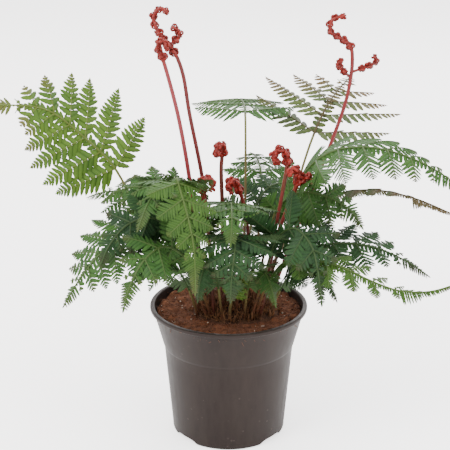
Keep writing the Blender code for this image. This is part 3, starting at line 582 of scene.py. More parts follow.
def leaf_group():
    """Colour, roughness and height of a leaf, from its greens."""
    tree, given, result = surface_group("leaf surface", [
        ("Fresh", "Color", rgba((0.16, 0.30, 0.08))), ("Deep", "Color", rgba((0.05, 0.12, 0.03))),
        ("Tip", "Color", rgba((0.30, 0.20, 0.09))), ("Rib", "Color", rgba((0.25, 0.22, 0.08))),
        ("Tip start", "Float", 0.75), ("Vein depth", "Float", 0.5)])
    place = tree.nodes.new("ShaderNodeTexCoord").outputs["Object"]
    uv = add(tree, "ShaderNodeSeparateXYZ", {"Vector": add(tree, "ShaderNodeUVMap", uv_map="leaflet")})
    along_leaflet, across = uv.outputs[0], uv.outputs[1]

    # veins: one along the middle, and others that slant away from it
    off_middle = math_node(tree, "ABSOLUTE", math_node(tree, "SUBTRACT", across, 0.5))
    middle = ramp(tree, off_middle, 0.0, MIDDLE_VEIN, 1.0, 0.0)
    slant = math_node(tree, "SUBTRACT", times(tree, along_leaflet, SIDE_VEINS),
                      times(tree, off_middle, VEIN_SLANT))
    veins = ramp(tree, math_node(tree, "PINGPONG", slant, 0.5), 0.0, SIDE_VEIN, 1.0, 0.0)
    relief = math_node(tree, "MAXIMUM", middle, times(tree, veins, 0.55))

    # greens: broad patches, a chance tint for each leaflet, and a fine mottle
    patches = noise_at(tree, place, PATCHES)
    mottle = noise_at(tree, place, MOTTLE, 4.0)
    age = plus(tree, patches, times(tree, named(tree, "tint"), 0.2))
    green = blend_colour(tree, ramp(tree, age, 0.3, 0.85), given["Fresh"], given["Deep"])
    green = blend_colour(tree, times(tree, relief, 0.3), green, given["Rib"])
    green = blend_colour(tree, ramp(tree, mottle, 0.5, 0.75, 0.0, 0.35), green, given["Deep"])

    # tips: out is how far along its pinna a leaflet stands, and along how far up the frond
    old = plus(tree, times(tree, named(tree, "out"), 0.55), times(tree, named(tree, "along"), 0.55))
    old = plus(tree, old, times(tree, patches, 0.35))
    turned = ramp(tree, old, given["Tip start"], plus(tree, given["Tip start"], TURNING))
    green = blend_colour(tree, turned, green, given["Tip"])

    # a paler underside, painted shade along each leaflet's edge where leaflets meet and overlap, and the ribs
    # that carry the leaflets
    under = named(tree, "under")
    green = blend_colour(tree, times(tree, under, 0.3), green, UNDERSIDE)
    edge = ramp(tree, off_middle, 0.26, 0.48, 0.0, 0.75)
    green = blend_colour(tree, edge, green, EDGE_PAINTED_SHADE, "MULTIPLY")
    green = blend_colour(tree, named(tree, "rib"), green, given["Rib"])
    shine = plus(tree, ramp(tree, mottle, 0.3, 0.7, 0.38, 0.56), times(tree, under, 0.2))
    height = plus(tree, times(tree, relief, given["Vein depth"]), times(tree, mottle, 0.25))
    give_out(tree, result, green, shine, height)
    return tree


leaf_surface = leaf_group()
print("leaf surface has", len(leaf_surface.nodes), "nodes")

# %% [markdown]
# The Principled BSDF stays in each material, and only its colours, roughness and bump come from a
# group. Bump turns the height into shading, which is enough for veins a tenth of a millimetre deep.


# %% Materials from a group
def finish(name, group, values, bump, **constants):
    """A material whose colour, roughness and relief come from a node group.

    bump is the height of the relief in metres. constants are set on the shader's own sockets,
    with _ for a blank.
    """
    made = bpy.data.materials.new(name)
    made.use_nodes = True
    tree = made.node_tree
    shader = tree.nodes["Principled BSDF"].inputs
    surface = add(tree, "ShaderNodeGroup", values, node_tree=group).outputs
    relief = add(tree, "ShaderNodeBump", {"Height": surface["Height"], "Distance": bump, "Strength": 0.8})
    tree.links.new(surface["Color"], shader["Base Color"])
    tree.links.new(surface["Roughness"], shader["Roughness"])
    tree.links.new(relief.outputs["Normal"], shader["Normal"])
    for key, value in constants.items():
        shader[key.replace("_", " ")].default_value = value
    return made


GREENS = {  # fresh, deep, tip and rib colours, and where up the frond its tips start to turn
    "bright": ((0.080, 0.150, 0.013), (0.038, 0.090, 0.011), (0.12, 0.085, 0.030),
               (0.080, 0.110, 0.020), 0.78),
    # shaded is the bright green darkened, as painted shade for bright fronds that stand in shade
    "shaded": ((0.050, 0.110, 0.014), (0.024, 0.062, 0.010), (0.09, 0.075, 0.025),
               (0.048, 0.080, 0.018), 0.85),
    "olive": ((0.068, 0.095, 0.018), (0.028, 0.050, 0.011), (0.10, 0.065, 0.028),
              (0.050, 0.040, 0.015), 0.55),
    "mid": ((0.040, 0.105, 0.015), (0.015, 0.050, 0.009), (0.08, 0.060, 0.024),
            (0.040, 0.070, 0.018), 0.85),
    # dark is a deep green, partly the fronds' own colour and partly painted shade for fronds that lie in the
    # plant's shade
    "dark": ((0.018, 0.056, 0.013), (0.006, 0.023, 0.007), (0.055, 0.038, 0.018),
             (0.022, 0.042, 0.012), 0.85),
}
leaf_finish = {}
for tone, (fresh, deep, tip, rib, tip_start) in GREENS.items():
    leaf_finish[tone] = finish(
        f"fern leaf {tone}", leaf_surface,
        {"Fresh": rgba(fresh), "Deep": rgba(deep), "Tip": rgba(tip), "Rib": rgba(rib),
         "Tip start": tip_start, "Vein depth": 0.6}, bump=0.0004, Specular_IOR_Level=0.16)
print("leaf finishes:", list(leaf_finish))

# %% [markdown]
# ## One leaflet
# The leaflets of this fern are small oblong blades, joined to their rib by a broad foot, with a few
# blunt teeth along the edge. Thousands are needed, so each may have only some forty triangles. It is
# a closed lens: an outline, one row of points above it and one below. Two forms that sweep opposite
# ways serve the two sides of a rib, because a mirrored copy would be inside out.

# %% Leaflet mesh
TEETH = 3
LENGTH_IN_TEETH = TEETH + 0.35
CREST = 0.62  # where a tooth is widest, along it
NOTCH = 0.84  # how much of the width is left at the notch after it
SWELL = 0.055  # how far the middle stands above and below the edge
MIDDLES = (0.0, 0.3, 0.62, 0.86)  # places along the leaflet of its middle points


def leaflet_half_width(t):
    """The leaflet's half-width along its length, both measured on a leaflet one wide."""
    return 0.5 * min(1.0, 0.84 + 0.9 * t) * (1 - t ** 3.4) ** 0.75


def zip_strip(chain, chain_at, other, other_at):
    """Triangles between two chains that end in the same point, joined where they run level."""
    faces, i, j = [], 0, 0
    while i < len(chain) - 1 or j < len(other) - 1:
        if j == len(other) - 1 or (i < len(chain) - 1 and chain_at[i + 1] < other_at[j + 1]):
            corners = (chain[i], chain[i + 1], other[j])
            i += 1
        else:
            corners = (chain[i], other[j + 1], other[j])
            j += 1
        if len(set(corners)) == 3:
            faces.append(corners)
    return faces


def make_leaflet(name, sweep, curl, droop):
    """A leaflet one long and one wide. sweep bends it sideways, curl and droop bend it down."""
    def place(t, side, lift):
        y = side * leaflet_half_width(t)
        return (t, y + sweep * t * t, lift - curl * y * y - droop * t * t)

    points = [place(t, 0, swell * (1 - t ** 3)) for swell in (SWELL, -SWELL) for t in MIDDLES]
    outline = [0.0]
    for k in range(TEETH):
        outline += [(k + CREST) / LENGTH_IN_TEETH, (k + 1) / LENGTH_IN_TEETH]
    edges = {1: [], -1: []}
    for side, edge in edges.items():
        for k, t in enumerate(outline):
            bite = NOTCH if k % 2 == 0 and k else 1.0
            edge.append(len(points))
            points.append(place(t, side * bite, 0.0))
    tip = len(points)
    points.append(place(1.0, 0, 0.0))
    faces = [(edges[1][0], 0, edges[-1][0], len(MIDDLES))]
    under = [0]
    for first in (0, len(MIDDLES)):
        middle = [first + k for k in range(len(MIDDLES))] + [tip]
        for edge in edges.values():
            strip = zip_strip(middle, [*MIDDLES, 1.0], edge + [tip], outline + [1.0])
            faces += strip
            under += [1 if first else 0] * len(strip)
    made = mesh_object(name, np.array(points) / MM, faces=faces)
    face_outwards(made.data)
    stencil(made)
    made.data.set_sharp_from_angle(angle=math.radians(60))
    layer = made.data.attributes.new("under", "FLOAT", "FACE")
    layer.data.foreach_set("value", np.array(under, np.float32))
    chart = made.data.uv_layers.new(name="leaflet")
    for loop in made.data.loops:
        x, y, _ = points[loop.vertex_index]
        chart.data[loop.index].uv = (x, y - sweep * x * x + 0.5)
    return made


leaflets = {side: make_leaflet(f"leaflet_{side}", sweep, curl=0.32, droop=0.10)
            for side, sweep in (("plus", -0.04), ("minus", 0.04))}
print("one leaflet has", triangles(leaflets["plus"]), "triangles")

# %% [markdown]
# ## The plan of a frond
# On the real fern the blade is twice cut: the rachis, its main rib, carries pairs of pinnae, and each
# pinna carries two rows of leaflets. The solid model has the same ribs, in the same places, with
# only a few large lobes. So the ribs are worked out again here by the solid model's own rule and its
# fixed draw. Where a pinna had to be shorter or bent to keep clear of another, the way that it took
# is read from the solid: of the lengths and bends it could have, one has its tip where the solid
# has a corner. The rachis bears leaflets too, small ones between the pinnae and full ones beyond
# the last of them.

# %% Sizes of a blade
GAP = 0.3  # the joint line between two solids, in millimetres as all lengths here
STATION_CROWDING = 1.35  # above 1, pinna pairs stand closer towards the tip
FIRST_STATION = 0.035  # share of the blade below the first pair
PINNA_ANGLE = (73.0, 46.0)  # to the rachis, at the blade's foot and tip
MOUTH = 1.15  # half the width of a pinna where it leaves the rachis
ROOM = 0.93  # how much of the room between two pinnae the solid's lobes take
SLIMNESS = 0.24  # a pinna's half-width is at most this share of its length
RACHIS_HALF_WIDTH = (1.05, 0.6)  # of the solid's, at the blade's foot and tip
ANGLE_DRAW, DROOP_DRAW, LENGTH_DRAW = 2, 0.07, (0.93, 1.04)  # what chance may add
DOWN = np.array([0.0, 0.0, -1.0])
WAYS_ROUND = [
    (length, bend)
    for length in (1.0, 0.85, 0.7, 0.55, 0.42)
    for bend in (0.0, 0.3, -0.3, 0.6, -0.5)
]
FIT = 0.2  # how far a pinna's tip may lie from the solid's corner

# %% Sizes of the leaflets
TIP_SHARE = 0.95  # the rib ends here and a last leaflet fills the rest
LEAFLETS_A_PINNA = 11.0  # a pinna's length over the distance between its widest leaflets
CLOSEST_LEAFLETS = 1.25
CLOSEST_ON_RACHIS = 1.7
LEAST_PITCH = 1.8  # between the widest leaflets of a small frond
OVERLAP = 1.9  # how far leaflets reach past the solid's lobes, into the gaps between pinnae
FREE, LEAST_ROOM, OFF_RACHIS = 1e3, 0.5, 0.9  # room for a leaflet: outwards, at least, and inwards
PINNA_RIB, RACHIS_RIB, RIB_LIFT = (0.62, 0.26), (1.15, 0.55), 0.5  # radii, and height over the solid's rib
TAIL_END = 4.0  # length of the leaflet at the frond's tip
TAIL_LEAST, TAIL_GROWTH, LONGEST_IN_TAIL = 1.5, 1.9, 12.0  # above the last pinnae
FRINGE_SHARE, LONGEST_IN_FRINGE = 0.3, 7.5  # between the pinnae, against the pinnae's length
TAIL_OUT = 0.45  # leaflets on the rachis are as old as those this far along a pinna
USUAL_HANG = 0.28  # how far leaflets droop
HANG = {"right_edge": 1.0, "right_big": 0.45, "right_low": 0.45}
print("leaflets stand", CLOSEST_LEAFLETS, "mm or more apart")


# %% Rules of a blade
def stations(pairs):
    """Shares of the blade's length at which the pinna pairs stand."""
    return [FIRST_STATION + (1 - FIRST_STATION) * (1 - (1 - k / pairs) ** STATION_CROWDING)
            for k in range(pairs)]


def pinna_length(share):
    """A pinna's length up the blade, as a share of the longest: broad, then a drawn-out tip."""
    broad = max(0.0, 1 - (share / 0.8) ** 2.2)
    return min(1.0, 0.84 + 0.9 * share) * (0.76 * broad + 0.24 * (1 - share) ** 0.7)


def lobe_width(share):
    """A pinna's half-width along its length, as a share of the widest."""
    return min(1.0, 0.74 + 1.5 * share) * (1 - share ** 1.9)


def leaflet_reach(share):
    """A leaflet's length along its pinna, as a share of the longest: fuller than the solid's lobes."""
    return min(1.0, 0.8 + 1.5 * share) * (1 - share ** 2.7)


def corner_tree(node):
    """The corners of a solid, in millimetres, as a search tree."""
    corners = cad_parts[node].data.vertices
    tree = kdtree.KDTree(len(corners))
    for index, corner in enumerate(corners):
        tree.insert(corner.co / MM, index)
    tree.balance()
    return tree


# %% Ribs of a pinna
def leaflet_places(length, pitch):
    """Shares of a pinna at which its leaflets stand: closer together where it is narrower."""
    places = [min(0.4, 0.6 * pitch / length)]
    while places[-1] < TIP_SHARE:
        step = max(CLOSEST_LEAFLETS, pitch * lobe_width(places[-1]) ** 0.5)
        places.append(places[-1] + step / length)
    return [TIP_SHARE * share / places[-1] for share in places]


def add_pinna(ribs, root, out, up, bend, length, half_width, rooms, along, pitch):
    """Add the rib of one pinna, with the room for leaflets on each side of it."""
    shares = [0.0] + leaflet_places(length, pitch)
    points, ahead, wide = [], [], {1: [], -1: []}
    for s in shares:
        points.append(root + length * (out * s + 0.5 * bend * s * s) + up * RIB_LIFT)
        ahead.append(unit(out + bend * s))
        for wing in (1, -1):
            room = min(OVERLAP * half_width * leaflet_reach(s), rooms(s * length, wing))
            wide[wing].append(room if s > 0 else 0.0)
    steps = [length * (b - a) for a, b in zip(shares, shares[1:])]
    ribs.line(points, up=up, ahead=ahead, wide_plus=wide[1], wide_minus=wide[-1], along=along, out=shares,
              girth=[mix(PINNA_RIB, s) for s in shares], pitch=[steps[-1]] + steps[1:] + steps[-1:],
              ending=[0.0] * (len(shares) - 1) + [(1 - TIP_SHARE) * length])


# %% Leaflets on the rachis
def add_rachis_leaflets(ribs, frond, path, start, face_at, begin, pitch):
    """Add leaflets on the rachis itself: small ones between the pinnae, and all of the blade's end.

    begin holds the distance on each side at which the last full pinna stands.
    """
    length = path.length - start
    places, wide = [start + pitch], {1: [], -1: []}
    while places[-1] < path.length - TAIL_END:
        share = (places[-1] - start) / length
        places.append(places[-1] + max(CLOSEST_ON_RACHIS, 0.9 * pitch * (1 - share) ** 0.25))
    places[-1] = path.length - TAIL_END
    for place in places:
        pinna = frond["reach"] * pinna_length(min((place - start) / length, 0.995))
        reach = min(LONGEST_IN_TAIL, TAIL_LEAST + TAIL_GROWTH * pinna)
        fringe = min(LONGEST_IN_FRINGE, FRINGE_SHARE * pinna)
        for wing in (1, -1):
            wide[wing].append(reach if place > begin[wing] + pitch else fringe)
    steps = [b - a for a, b in zip(places, places[1:])]
    ribs.follow(path, places, up=[face_at(d) for d in places], wide_plus=wide[1], wide_minus=wide[-1],
                along=[min(1.0, (d - start) / length) for d in places], out=TAIL_OUT, girth=0.5,
                pitch=steps + steps[-1:], ending=[0.0] * len(steps) + [TAIL_END])


# %% Ribs of a frond
def plan_frond(frond, seed, corners):
    """The ribs of a frond's blade, its rachis and its pinnae, and how many pinnae were found."""
    draw = random.Random(seed)
    path = Path(frond["route"])
    start = path.knot(frond["foot"]) + GAP
    length = path.length - start
    shares = stations(frond["pairs"])
    pitch = max(LEAST_PITCH, frond["reach"] / LEAFLETS_A_PINNA)
    ribs = Ribs()
    found = {1: [], -1: []}

    def face_at(distance):
        heading = path.heading(distance)
        face = np.array(frond["face"], float)
        return unit(face - heading * np.dot(face, heading))

    def edge_at(distance, sign):
        side = np.cross(face_at(distance), path.heading(distance))
        return path.at(distance) + sign * mix(RACHIS_HALF_WIDTH, (distance - start) / length) * side

    for share in shares:
        distance = start + max(length * share, MOUTH + GAP)
        heading, face = path.heading(distance), face_at(distance)
        side = np.cross(face, heading)
        mouth = MOUTH * mix((1.0, 0.7), share)
        nearest = min(abs(share - other) for other in shares if other != share) * length
        for sign in (1, -1):
            angle = math.radians(mix(PINNA_ANGLE, share) + draw.uniform(-ANGLE_DRAW, ANGLE_DRAW))
            out = math.cos(angle) * heading + math.sin(angle) * side * sign
            reach = frond["reach"] * pinna_length(share) * draw.uniform(*LENGTH_DRAW)
            half_width = min(0.5 * nearest * math.sin(angle) * ROOM, SLIMNESS * reach)
            hang = frond["droop"] + draw.uniform(-DROOP_DRAW, DROOP_DRAW)
            fall = DOWN - heading * np.dot(DOWN, heading)
            tilt = unit(mix((face, -DOWN), frond.get("louver", 0.0)))
            tilt = unit(tilt - out * np.dot(tilt, out))
            root = (edge_at(distance - mouth, sign) + edge_at(distance + mouth, sign)) / 2

            def rooms(distance_out, wing, sign=sign, angle=angle):
                if wing == sign:
                    return FREE
                return max(LEAST_ROOM, (distance_out * math.sin(angle) - OFF_RACHIS) / math.cos(angle))

            for stretch, extra in WAYS_ROUND:
                bend = fall * (hang + extra)
                tip = root + reach * stretch * (out + 0.5 * bend)
                if corners.find(tip)[2] < FIT:
                    add_pinna(ribs, root, out, tilt, bend, reach * stretch, half_width, rooms, share, pitch)
                    found[sign].append(distance)
                    break
    begin = {sign: max([start] + distances) for sign, distances in found.items()}
    add_rachis_leaflets(ribs, frond, path, start, face_at, begin, pitch)
    shares_up = list(np.linspace(0, 1, 40))
    places = [mix((start, path.length - TAIL_END), share) for share in shares_up]
    ribs.follow(path, places, up=[face_at(d) for d in places], wide_plus=0.0, wide_minus=0.0, ending=0.0,
                along=shares_up, out=0.0, pitch=1.0, girth=[mix(RACHIS_RIB, s) for s in shares_up])
    return ribs, len(found[1]) + len(found[-1])


# %% [markdown]
# ## Growing the fronds
# The tree turns the guide lines into curves. One branch sweeps a small circle along them, for the
# ribs. Two others set a leaflet on each side of each point, with its length taken from the room
# that the plan left there, and the last one sets the leaflet at each rib's tip. Axes to Rotation
# aims them: the X axis points outwards, a little ahead and down, and the Z axis follows the pinna's
# upper side. A fixed seed turns each leaflet by a few degrees, because no two lie quite alike.


# %% Geometry Nodes helpers
def attribute(tree, name, kind="FLOAT"):
    """Read a value stored on the geometry, in a Geometry Nodes tree."""
    return add(tree, "GeometryNodeInputNamedAttribute", {"Name": name}, data_type=kind)


def keep(tree, geometry, name, value, domain="POINT"):
    """Store a value on the geometry, for the material to read."""
    return add(tree, "GeometryNodeStoreNamedAttribute",
               {"Geometry": geometry, "Name": name, "Value": value}, domain=domain)


def chance(tree, low, high, seed):
    """A random number between two limits, another for each point."""
    return add(tree, "FunctionNodeRandomValue", {"Min": low, "Max": high, "Seed": seed}, data_type="FLOAT")


def swing(tree, most, seed):
    """A random number from minus a limit to the limit."""
    return chance(tree, times(tree, most, -1.0), most, seed)


def vector_math(tree, how, *values):
    """A Vector Math node with its inputs filled."""
    return add(tree, "ShaderNodeVectorMath", dict(enumerate(values)), operation=how)


def scaled(tree, vector, factor):
    """A vector made longer or shorter."""
    return add(tree, "ShaderNodeVectorMath", {0: vector, "Scale": factor}, operation="SCALE")


def join(tree, parts):
    """Several geometries as one."""
    joined = tree.nodes.new("GeometryNodeJoinGeometry")
    for part in parts:
        tree.links.new(outlet(part), joined.inputs[0])
    return joined


# %% Placing and sweeping
def aim(tree, pointing, up):
    """A rotation whose X axis points one way and whose Z axis leans to another."""
    return add(tree, "FunctionNodeAxesToRotation", {"Primary Axis": pointing, "Secondary Axis": up},
               primary_axis="X", secondary_axis="Z")


def jitter(tree, rotation, turn, seed):
    """Turn each rotation by a random angle about each axis."""
    twist = add(tree, "ShaderNodeCombineXYZ",
                {axis: swing(tree, turn, plus(tree, seed, float(k))) for k, axis in enumerate("XYZ")})
    return add(tree, "FunctionNodeRotateRotation",
               {"Rotation": rotation, "Rotate By": add(tree, "FunctionNodeEulerToRotation", {0: twist})},
               rotation_space="LOCAL")


def sweep_ribs(tree, curves, sides):
    """A round tube along curves, as thick as their stored girth, with closed ends."""
    circle = add(tree, "GeometryNodeCurvePrimitiveCircle", {"Resolution": sides, "Radius": 1.0})
    return add(tree, "GeometryNodeCurveToMesh",
               {"Curve": curves, "Profile Curve": circle.outputs["Curve"], "Fill Caps": True,
                "Scale": times(tree, attribute(tree, "girth"), MM)})


def object_shape(tree, source):
    """The mesh of an object that is an input of the tree."""
    return add(tree, "GeometryNodeObjectInfo", {"Object": source},
               transform_space="ORIGINAL").outputs["Geometry"]


# %% Frond tree
LEAFLET_LENGTHS = (0.92, 1.08)  # chance makes a leaflet this much shorter or longer
BROADEST_LEAFLET = 1.2  # its width over its length, at most
SHORTEST_LEAFLET = 0.4 * MM


def frond_tree():
    """The tree that sweeps the ribs of a frond and sets its leaflets."""
    tree, given, result = new_tree(
        "Grow frond", "GeometryNodeTree",
        [("Ribs", "Geometry", None), ("Leaflet plus", "Object", None), ("Leaflet minus", "Object", None),
         ("Leaflet fill", "Float", 1.0), ("Lean", "Float", 0.5), ("Hang", "Float", USUAL_HANG),
         ("Turn", "Float", 0.08), ("Rib sides", "Int", 5), ("Seed", "Int", 0), ("Finish", "Material", None)],
        [("Frond", "Geometry")])
    curves = add(tree, "GeometryNodeMeshToCurve", {"Mesh": given["Ribs"]})
    parts = [keep(tree, sweep_ribs(tree, curves, given["Rib sides"]), "rib", 1.0)]
    up, ahead = attribute(tree, "up", "FLOAT_VECTOR"), attribute(tree, "ahead", "FLOAT_VECTOR")
    sideways = vector_math(tree, "CROSS_PRODUCT", up, ahead)
    width = times(tree, times(tree, attribute(tree, "pitch"), MM), given["Leaflet fill"])
    for number, (side, sign) in enumerate((("plus", 1.0), ("minus", -1.0))):
        pointing = vector_math(tree, "ADD", scaled(tree, sideways, sign), scaled(tree, ahead, given["Lean"]))
        pointing = vector_math(tree, "SUBTRACT", pointing, scaled(tree, up, given["Hang"]))
        seed = plus(tree, given["Seed"], 10.0 * number)
        reach = times(tree, times(tree, attribute(tree, "wide_" + side), MM),
                      chance(tree, *LEAFLET_LENGTHS, seed))
        broad = math_node(tree, "MINIMUM", width, times(tree, reach, BROADEST_LEAFLET))
        placed = add(tree, "GeometryNodeInstanceOnPoints", {
            "Points": curves, "Selection": math_node(tree, "GREATER_THAN", reach, SHORTEST_LEAFLET),
            "Instance": object_shape(tree, given["Leaflet " + side]),
            "Rotation": jitter(tree, aim(tree, pointing, up), given["Turn"], seed),
            "Scale": add(tree, "ShaderNodeCombineXYZ", {"X": reach, "Y": broad, "Z": width})})
        parts.append(keep(tree, placed, "tint", chance(tree, 0.0, 1.0, seed), "INSTANCE"))
    ending = times(tree, attribute(tree, "ending"), MM)
    parts.append(add(tree, "GeometryNodeInstanceOnPoints", {
        "Points": curves, "Selection": math_node(tree, "GREATER_THAN", ending, 0.0),
        "Instance": object_shape(tree, given["Leaflet plus"]), "Rotation": aim(tree, ahead, up),
        "Scale": add(tree, "ShaderNodeCombineXYZ",
                     {"X": ending, "Y": times(tree, ending, 0.5), "Z": width})}))
    real = add(tree, "GeometryNodeRealizeInstances", {"Geometry": join(tree, parts)})
    done = add(tree, "GeometryNodeSetMaterial", {"Geometry": real, "Material": given["Finish"]})
    tree.links.new(outlet(done), result["Frond"])
    return tree


grow_frond = frond_tree()
print("frond tree has", len(grow_frond.nodes), "nodes")

# %% Grow the fronds
LIT_AND_SHADED_GREENS = {  # fronds that take another slot's green, most of them as painted light and shade
    # painted shade: front_lime and right_low take the darker shaded green
    "front_lime": "shaded", "right_low": "shaded", "right_edge": "olive",
    # painted light: left_droop and left_mid take the lighter mid green instead of their dark slot's
    "left_droop": "mid", "left_mid": "mid"}


def keep_in_box(mesh):
    """Hold a mesh inside the box of the solids, so that no leaflet tip stands out of it."""
    spots = np.empty(3 * len(mesh.vertices), np.float32)
    mesh.vertices.foreach_get("co", spots)
    spots = np.clip(spots.reshape(-1, 3), cad_low, cad_high)
    mesh.vertices.foreach_set("co", spots.ravel())


for seed, (name, frond) in enumerate(FRONDS.items()):
    node = "frond_" + name
    ribs, found = plan_frond(frond, seed, corner_tree(node))
    # a frond may take a lighter or darker green than its slot's, as painted light and shade
    piece = run_tree(ribs.object("fern_" + node), grow_frond, {
        "Leaflet plus": leaflets["plus"], "Leaflet minus": leaflets["minus"], "Seed": seed,
        "Hang": HANG.get(name, USUAL_HANG), "Finish": leaf_finish[LIT_AND_SHADED_GREENS.get(name, frond["slot"])]})
    keep_in_box(piece.data)
    finish_piece(piece, "frond_" + frond["slot"], node)
    print("  pinnae found:", found, "of", 2 * frond["pairs"])


# %% [markdown]
# ## Surfaces that are mottled
# Plastic, bark, coir and the skin of a stem all have a base colour that drifts between two tones,
# a finer grain, and small flecks of something else. One node group serves all of them. Its values
# decide how large and how strong each is, and Stretch draws the pattern out along the height, as on
# a moulded pot.


# %% Mottled node group
def mottled_group():
    """Colour, roughness and height of a surface of two tones with flecks."""
    tree, given, result = surface_group("mottled surface", [
        ("Light", "Color", rgba((0.3, 0.3, 0.3))), ("Dark", "Color", rgba((0.1, 0.1, 0.1))),
        ("Fleck", "Color", rgba((0.5, 0.5, 0.5))), ("Scale", "Float", 100.0), ("Stretch", "Float", 1.0),
        ("Fleck scale", "Float", 300.0), ("Fleck size", "Float", 0.2), ("Fleck strength", "Float", 0.5),
        ("Rough low", "Float", 0.4), ("Rough high", "Float", 0.6)])
    place = tree.nodes.new("ShaderNodeTexCoord").outputs["Object"]
    squash = add(tree, "ShaderNodeCombineXYZ", {"X": 1.0, "Y": 1.0,
                                                "Z": math_node(tree, "DIVIDE", 1.0, given["Stretch"])})
    drawn = vector_math(tree, "MULTIPLY", place, squash)
    broad = noise_at(tree, drawn, given["Scale"], 5.0, 0.6)
    fine = noise_at(tree, drawn, times(tree, given["Scale"], 7.0), 3.0, 0.6)
    tone = plus(tree, times(tree, broad, 0.65), times(tree, fine, 0.35))
    colour = blend_colour(tree, ramp(tree, tone, 0.36, 0.64), given["Dark"], given["Light"])

    # flecks: small cells, kept where a broader noise is high
    cells = add(tree, "ShaderNodeTexVoronoi", {"Vector": place, "Scale": given["Fleck scale"]})
    near = math_node(tree, "LESS_THAN", cells.outputs["Distance"], given["Fleck size"])
    rare = ramp(tree, noise_at(tree, place, times(tree, given["Fleck scale"], 0.21)), 0.5, 0.6)
    fleck = times(tree, times(tree, near, rare), given["Fleck strength"])
    colour = blend_colour(tree, fleck, colour, given["Fleck"])
    rough = ramp(tree, fine, 0.3, 0.7, given["Rough low"], given["Rough high"])
    give_out(tree, result, colour, rough, plus(tree, tone, times(tree, fleck, 0.5)))
    return tree


mottled_surface = mottled_group()


def mottled(name, light, dark, fleck, bump, rough, constants=None, **values):
    """A material of the mottled surface. values are its other inputs, with _ for a blank."""
    inputs = {"Light": rgba(light), "Dark": rgba(dark), "Fleck": rgba(fleck),
              "Rough low": rough[0], "Rough high": rough[1]}
    inputs.update({key.replace("_", " "): value for key, value in values.items()})
    return finish(name, mottled_surface, inputs, bump, **(constants or {}))


# %% Mottled finishes
DULL = {"Specular_IOR_Level": 0.2}  # earth, bark and this plastic reflect little
pot_finish = mottled(
    "moulded plastic", (0.021, 0.0165, 0.0138), (0.0115, 0.009, 0.0078), (0.06, 0.045, 0.04),
    0.00012, (0.34, 0.46), {**DULL, "Specular_Tint": (1, 0.8, 0.8, 1)},
    Scale=28.0, Stretch=5.0, Fleck_scale=170.0, Fleck_size=0.16, Fleck_strength=0.35)
mix_finish = mottled(
    "damp coir mix", (0.20, 0.072, 0.032), (0.068, 0.024, 0.012), (0.20, 0.11, 0.06),
    0.0011, (0.8, 0.98), DULL, Scale=160.0, Fleck_scale=420.0, Fleck_size=0.3, Fleck_strength=0.6)
fibre_finish = mottled(
    "coir fibre", (0.22, 0.095, 0.050), (0.09, 0.034, 0.019), (0.28, 0.17, 0.09),
    0.0002, (0.7, 0.9), DULL, Scale=300.0)
chip_finish = mottled(
    "bark chip", (0.13, 0.050, 0.026), (0.045, 0.019, 0.011), (0.16, 0.07, 0.04),
    0.0004, (0.75, 0.95), DULL, Scale=350.0)
perlite_finish = mottled(
    "perlite crumb", (0.62, 0.55, 0.46), (0.40, 0.32, 0.25), (0.75, 0.72, 0.68),
    0.0003, (0.8, 0.95), Scale=500.0)
scale_finish = mottled(
    "papery scale", (0.19, 0.088, 0.036), (0.065, 0.026, 0.012), (0.24, 0.14, 0.07),
    0.0002, (0.5, 0.75), DULL, Scale=260.0)
root_finish = mottled(
    "rootstock bark", (0.09, 0.040, 0.020), (0.025, 0.011, 0.007), (0.18, 0.10, 0.05),
    0.0009, (0.75, 0.95), DULL, Scale=150.0, Fleck_scale=500.0, Fleck_strength=0.5)
print("mottled finishes:", [m.name for m in bpy.data.materials if "leaf" not in m.name])

# %% [markdown]
# ## The pot
# A nursery pot is moulded from thin dark plastic in one piece. Its wall flares at the collar so that
# pots stack, a rolled lip stiffens the rim, and four arches in the foot let water out. The solid has
# this form with few sides. Turning the same profile with more sides and with rounded corners gives
# the smooth highlight of the real one, and the arches are cut from it by a Boolean, as in a tool shop.

# %% Pot sizes
POT_HEIGHT = 112.0
RIM_RADIUS = 65.0
LIP_DROP = 3.4
LIP_OVERHANG = 2.8
LIP_ROUND, LIP_FOOT_ROUND = 1.2, 1.0
COLLAR_FOOT_Z, COLLAR_FOOT_RADIUS = 79.6, 54.7
BODY_TOP_Z, BODY_TOP_RADIUS = 77.0, 53.6
BODY_FOOT_RADIUS = 47.3
FOOT_CORNER = 2.8
WALL, FLOOR = 1.2, 1.6
POT_SIDES = 112
NOTCH_CENTRES = (50, 130, 230, 310)  # degrees from the front
NOTCH_HALF_ANGLE = 18.0
NOTCH_HEIGHT = 4.6
NOTCH_INNER_RADIUS = 40.0
lip_foot = POT_HEIGHT - LIP_DROP
neck = RIM_RADIUS - LIP_OVERHANG


# %% Profiles and rings
def arc(centre, radius, start, end, steps):
    """Points of a round corner in a profile, from one angle in degrees to another."""
    return [(centre[0] + radius * math.cos(math.radians(a)), centre[1] + radius * math.sin(math.radians(a)))
            for a in np.linspace(start, end, steps)]


def slope(start, end, steps):
    """Points of a straight stretch of a profile."""
    return [(mix((start[0], end[0]), s), mix((start[1], end[1]), s)) for s in np.linspace(0, 1, steps)]


def turns(sides):
    """Evenly spaced angles round a circle."""
    return [2 * math.pi * k / sides for k in range(sides)]


def join_rings(rings):
    """Faces between each ring of point numbers and the next. A ring of one is a pole."""
    faces = []
    for low, high in zip(rings, rings[1:]):
        count = max(len(low), len(high))
        for k in range(count):
            after = (k + 1) % count
            corners = (low[k % len(low)], low[after % len(low)], high[after % len(high)], high[k % len(high)])
            faces.append(tuple(dict.fromkeys(corners)))
    return faces


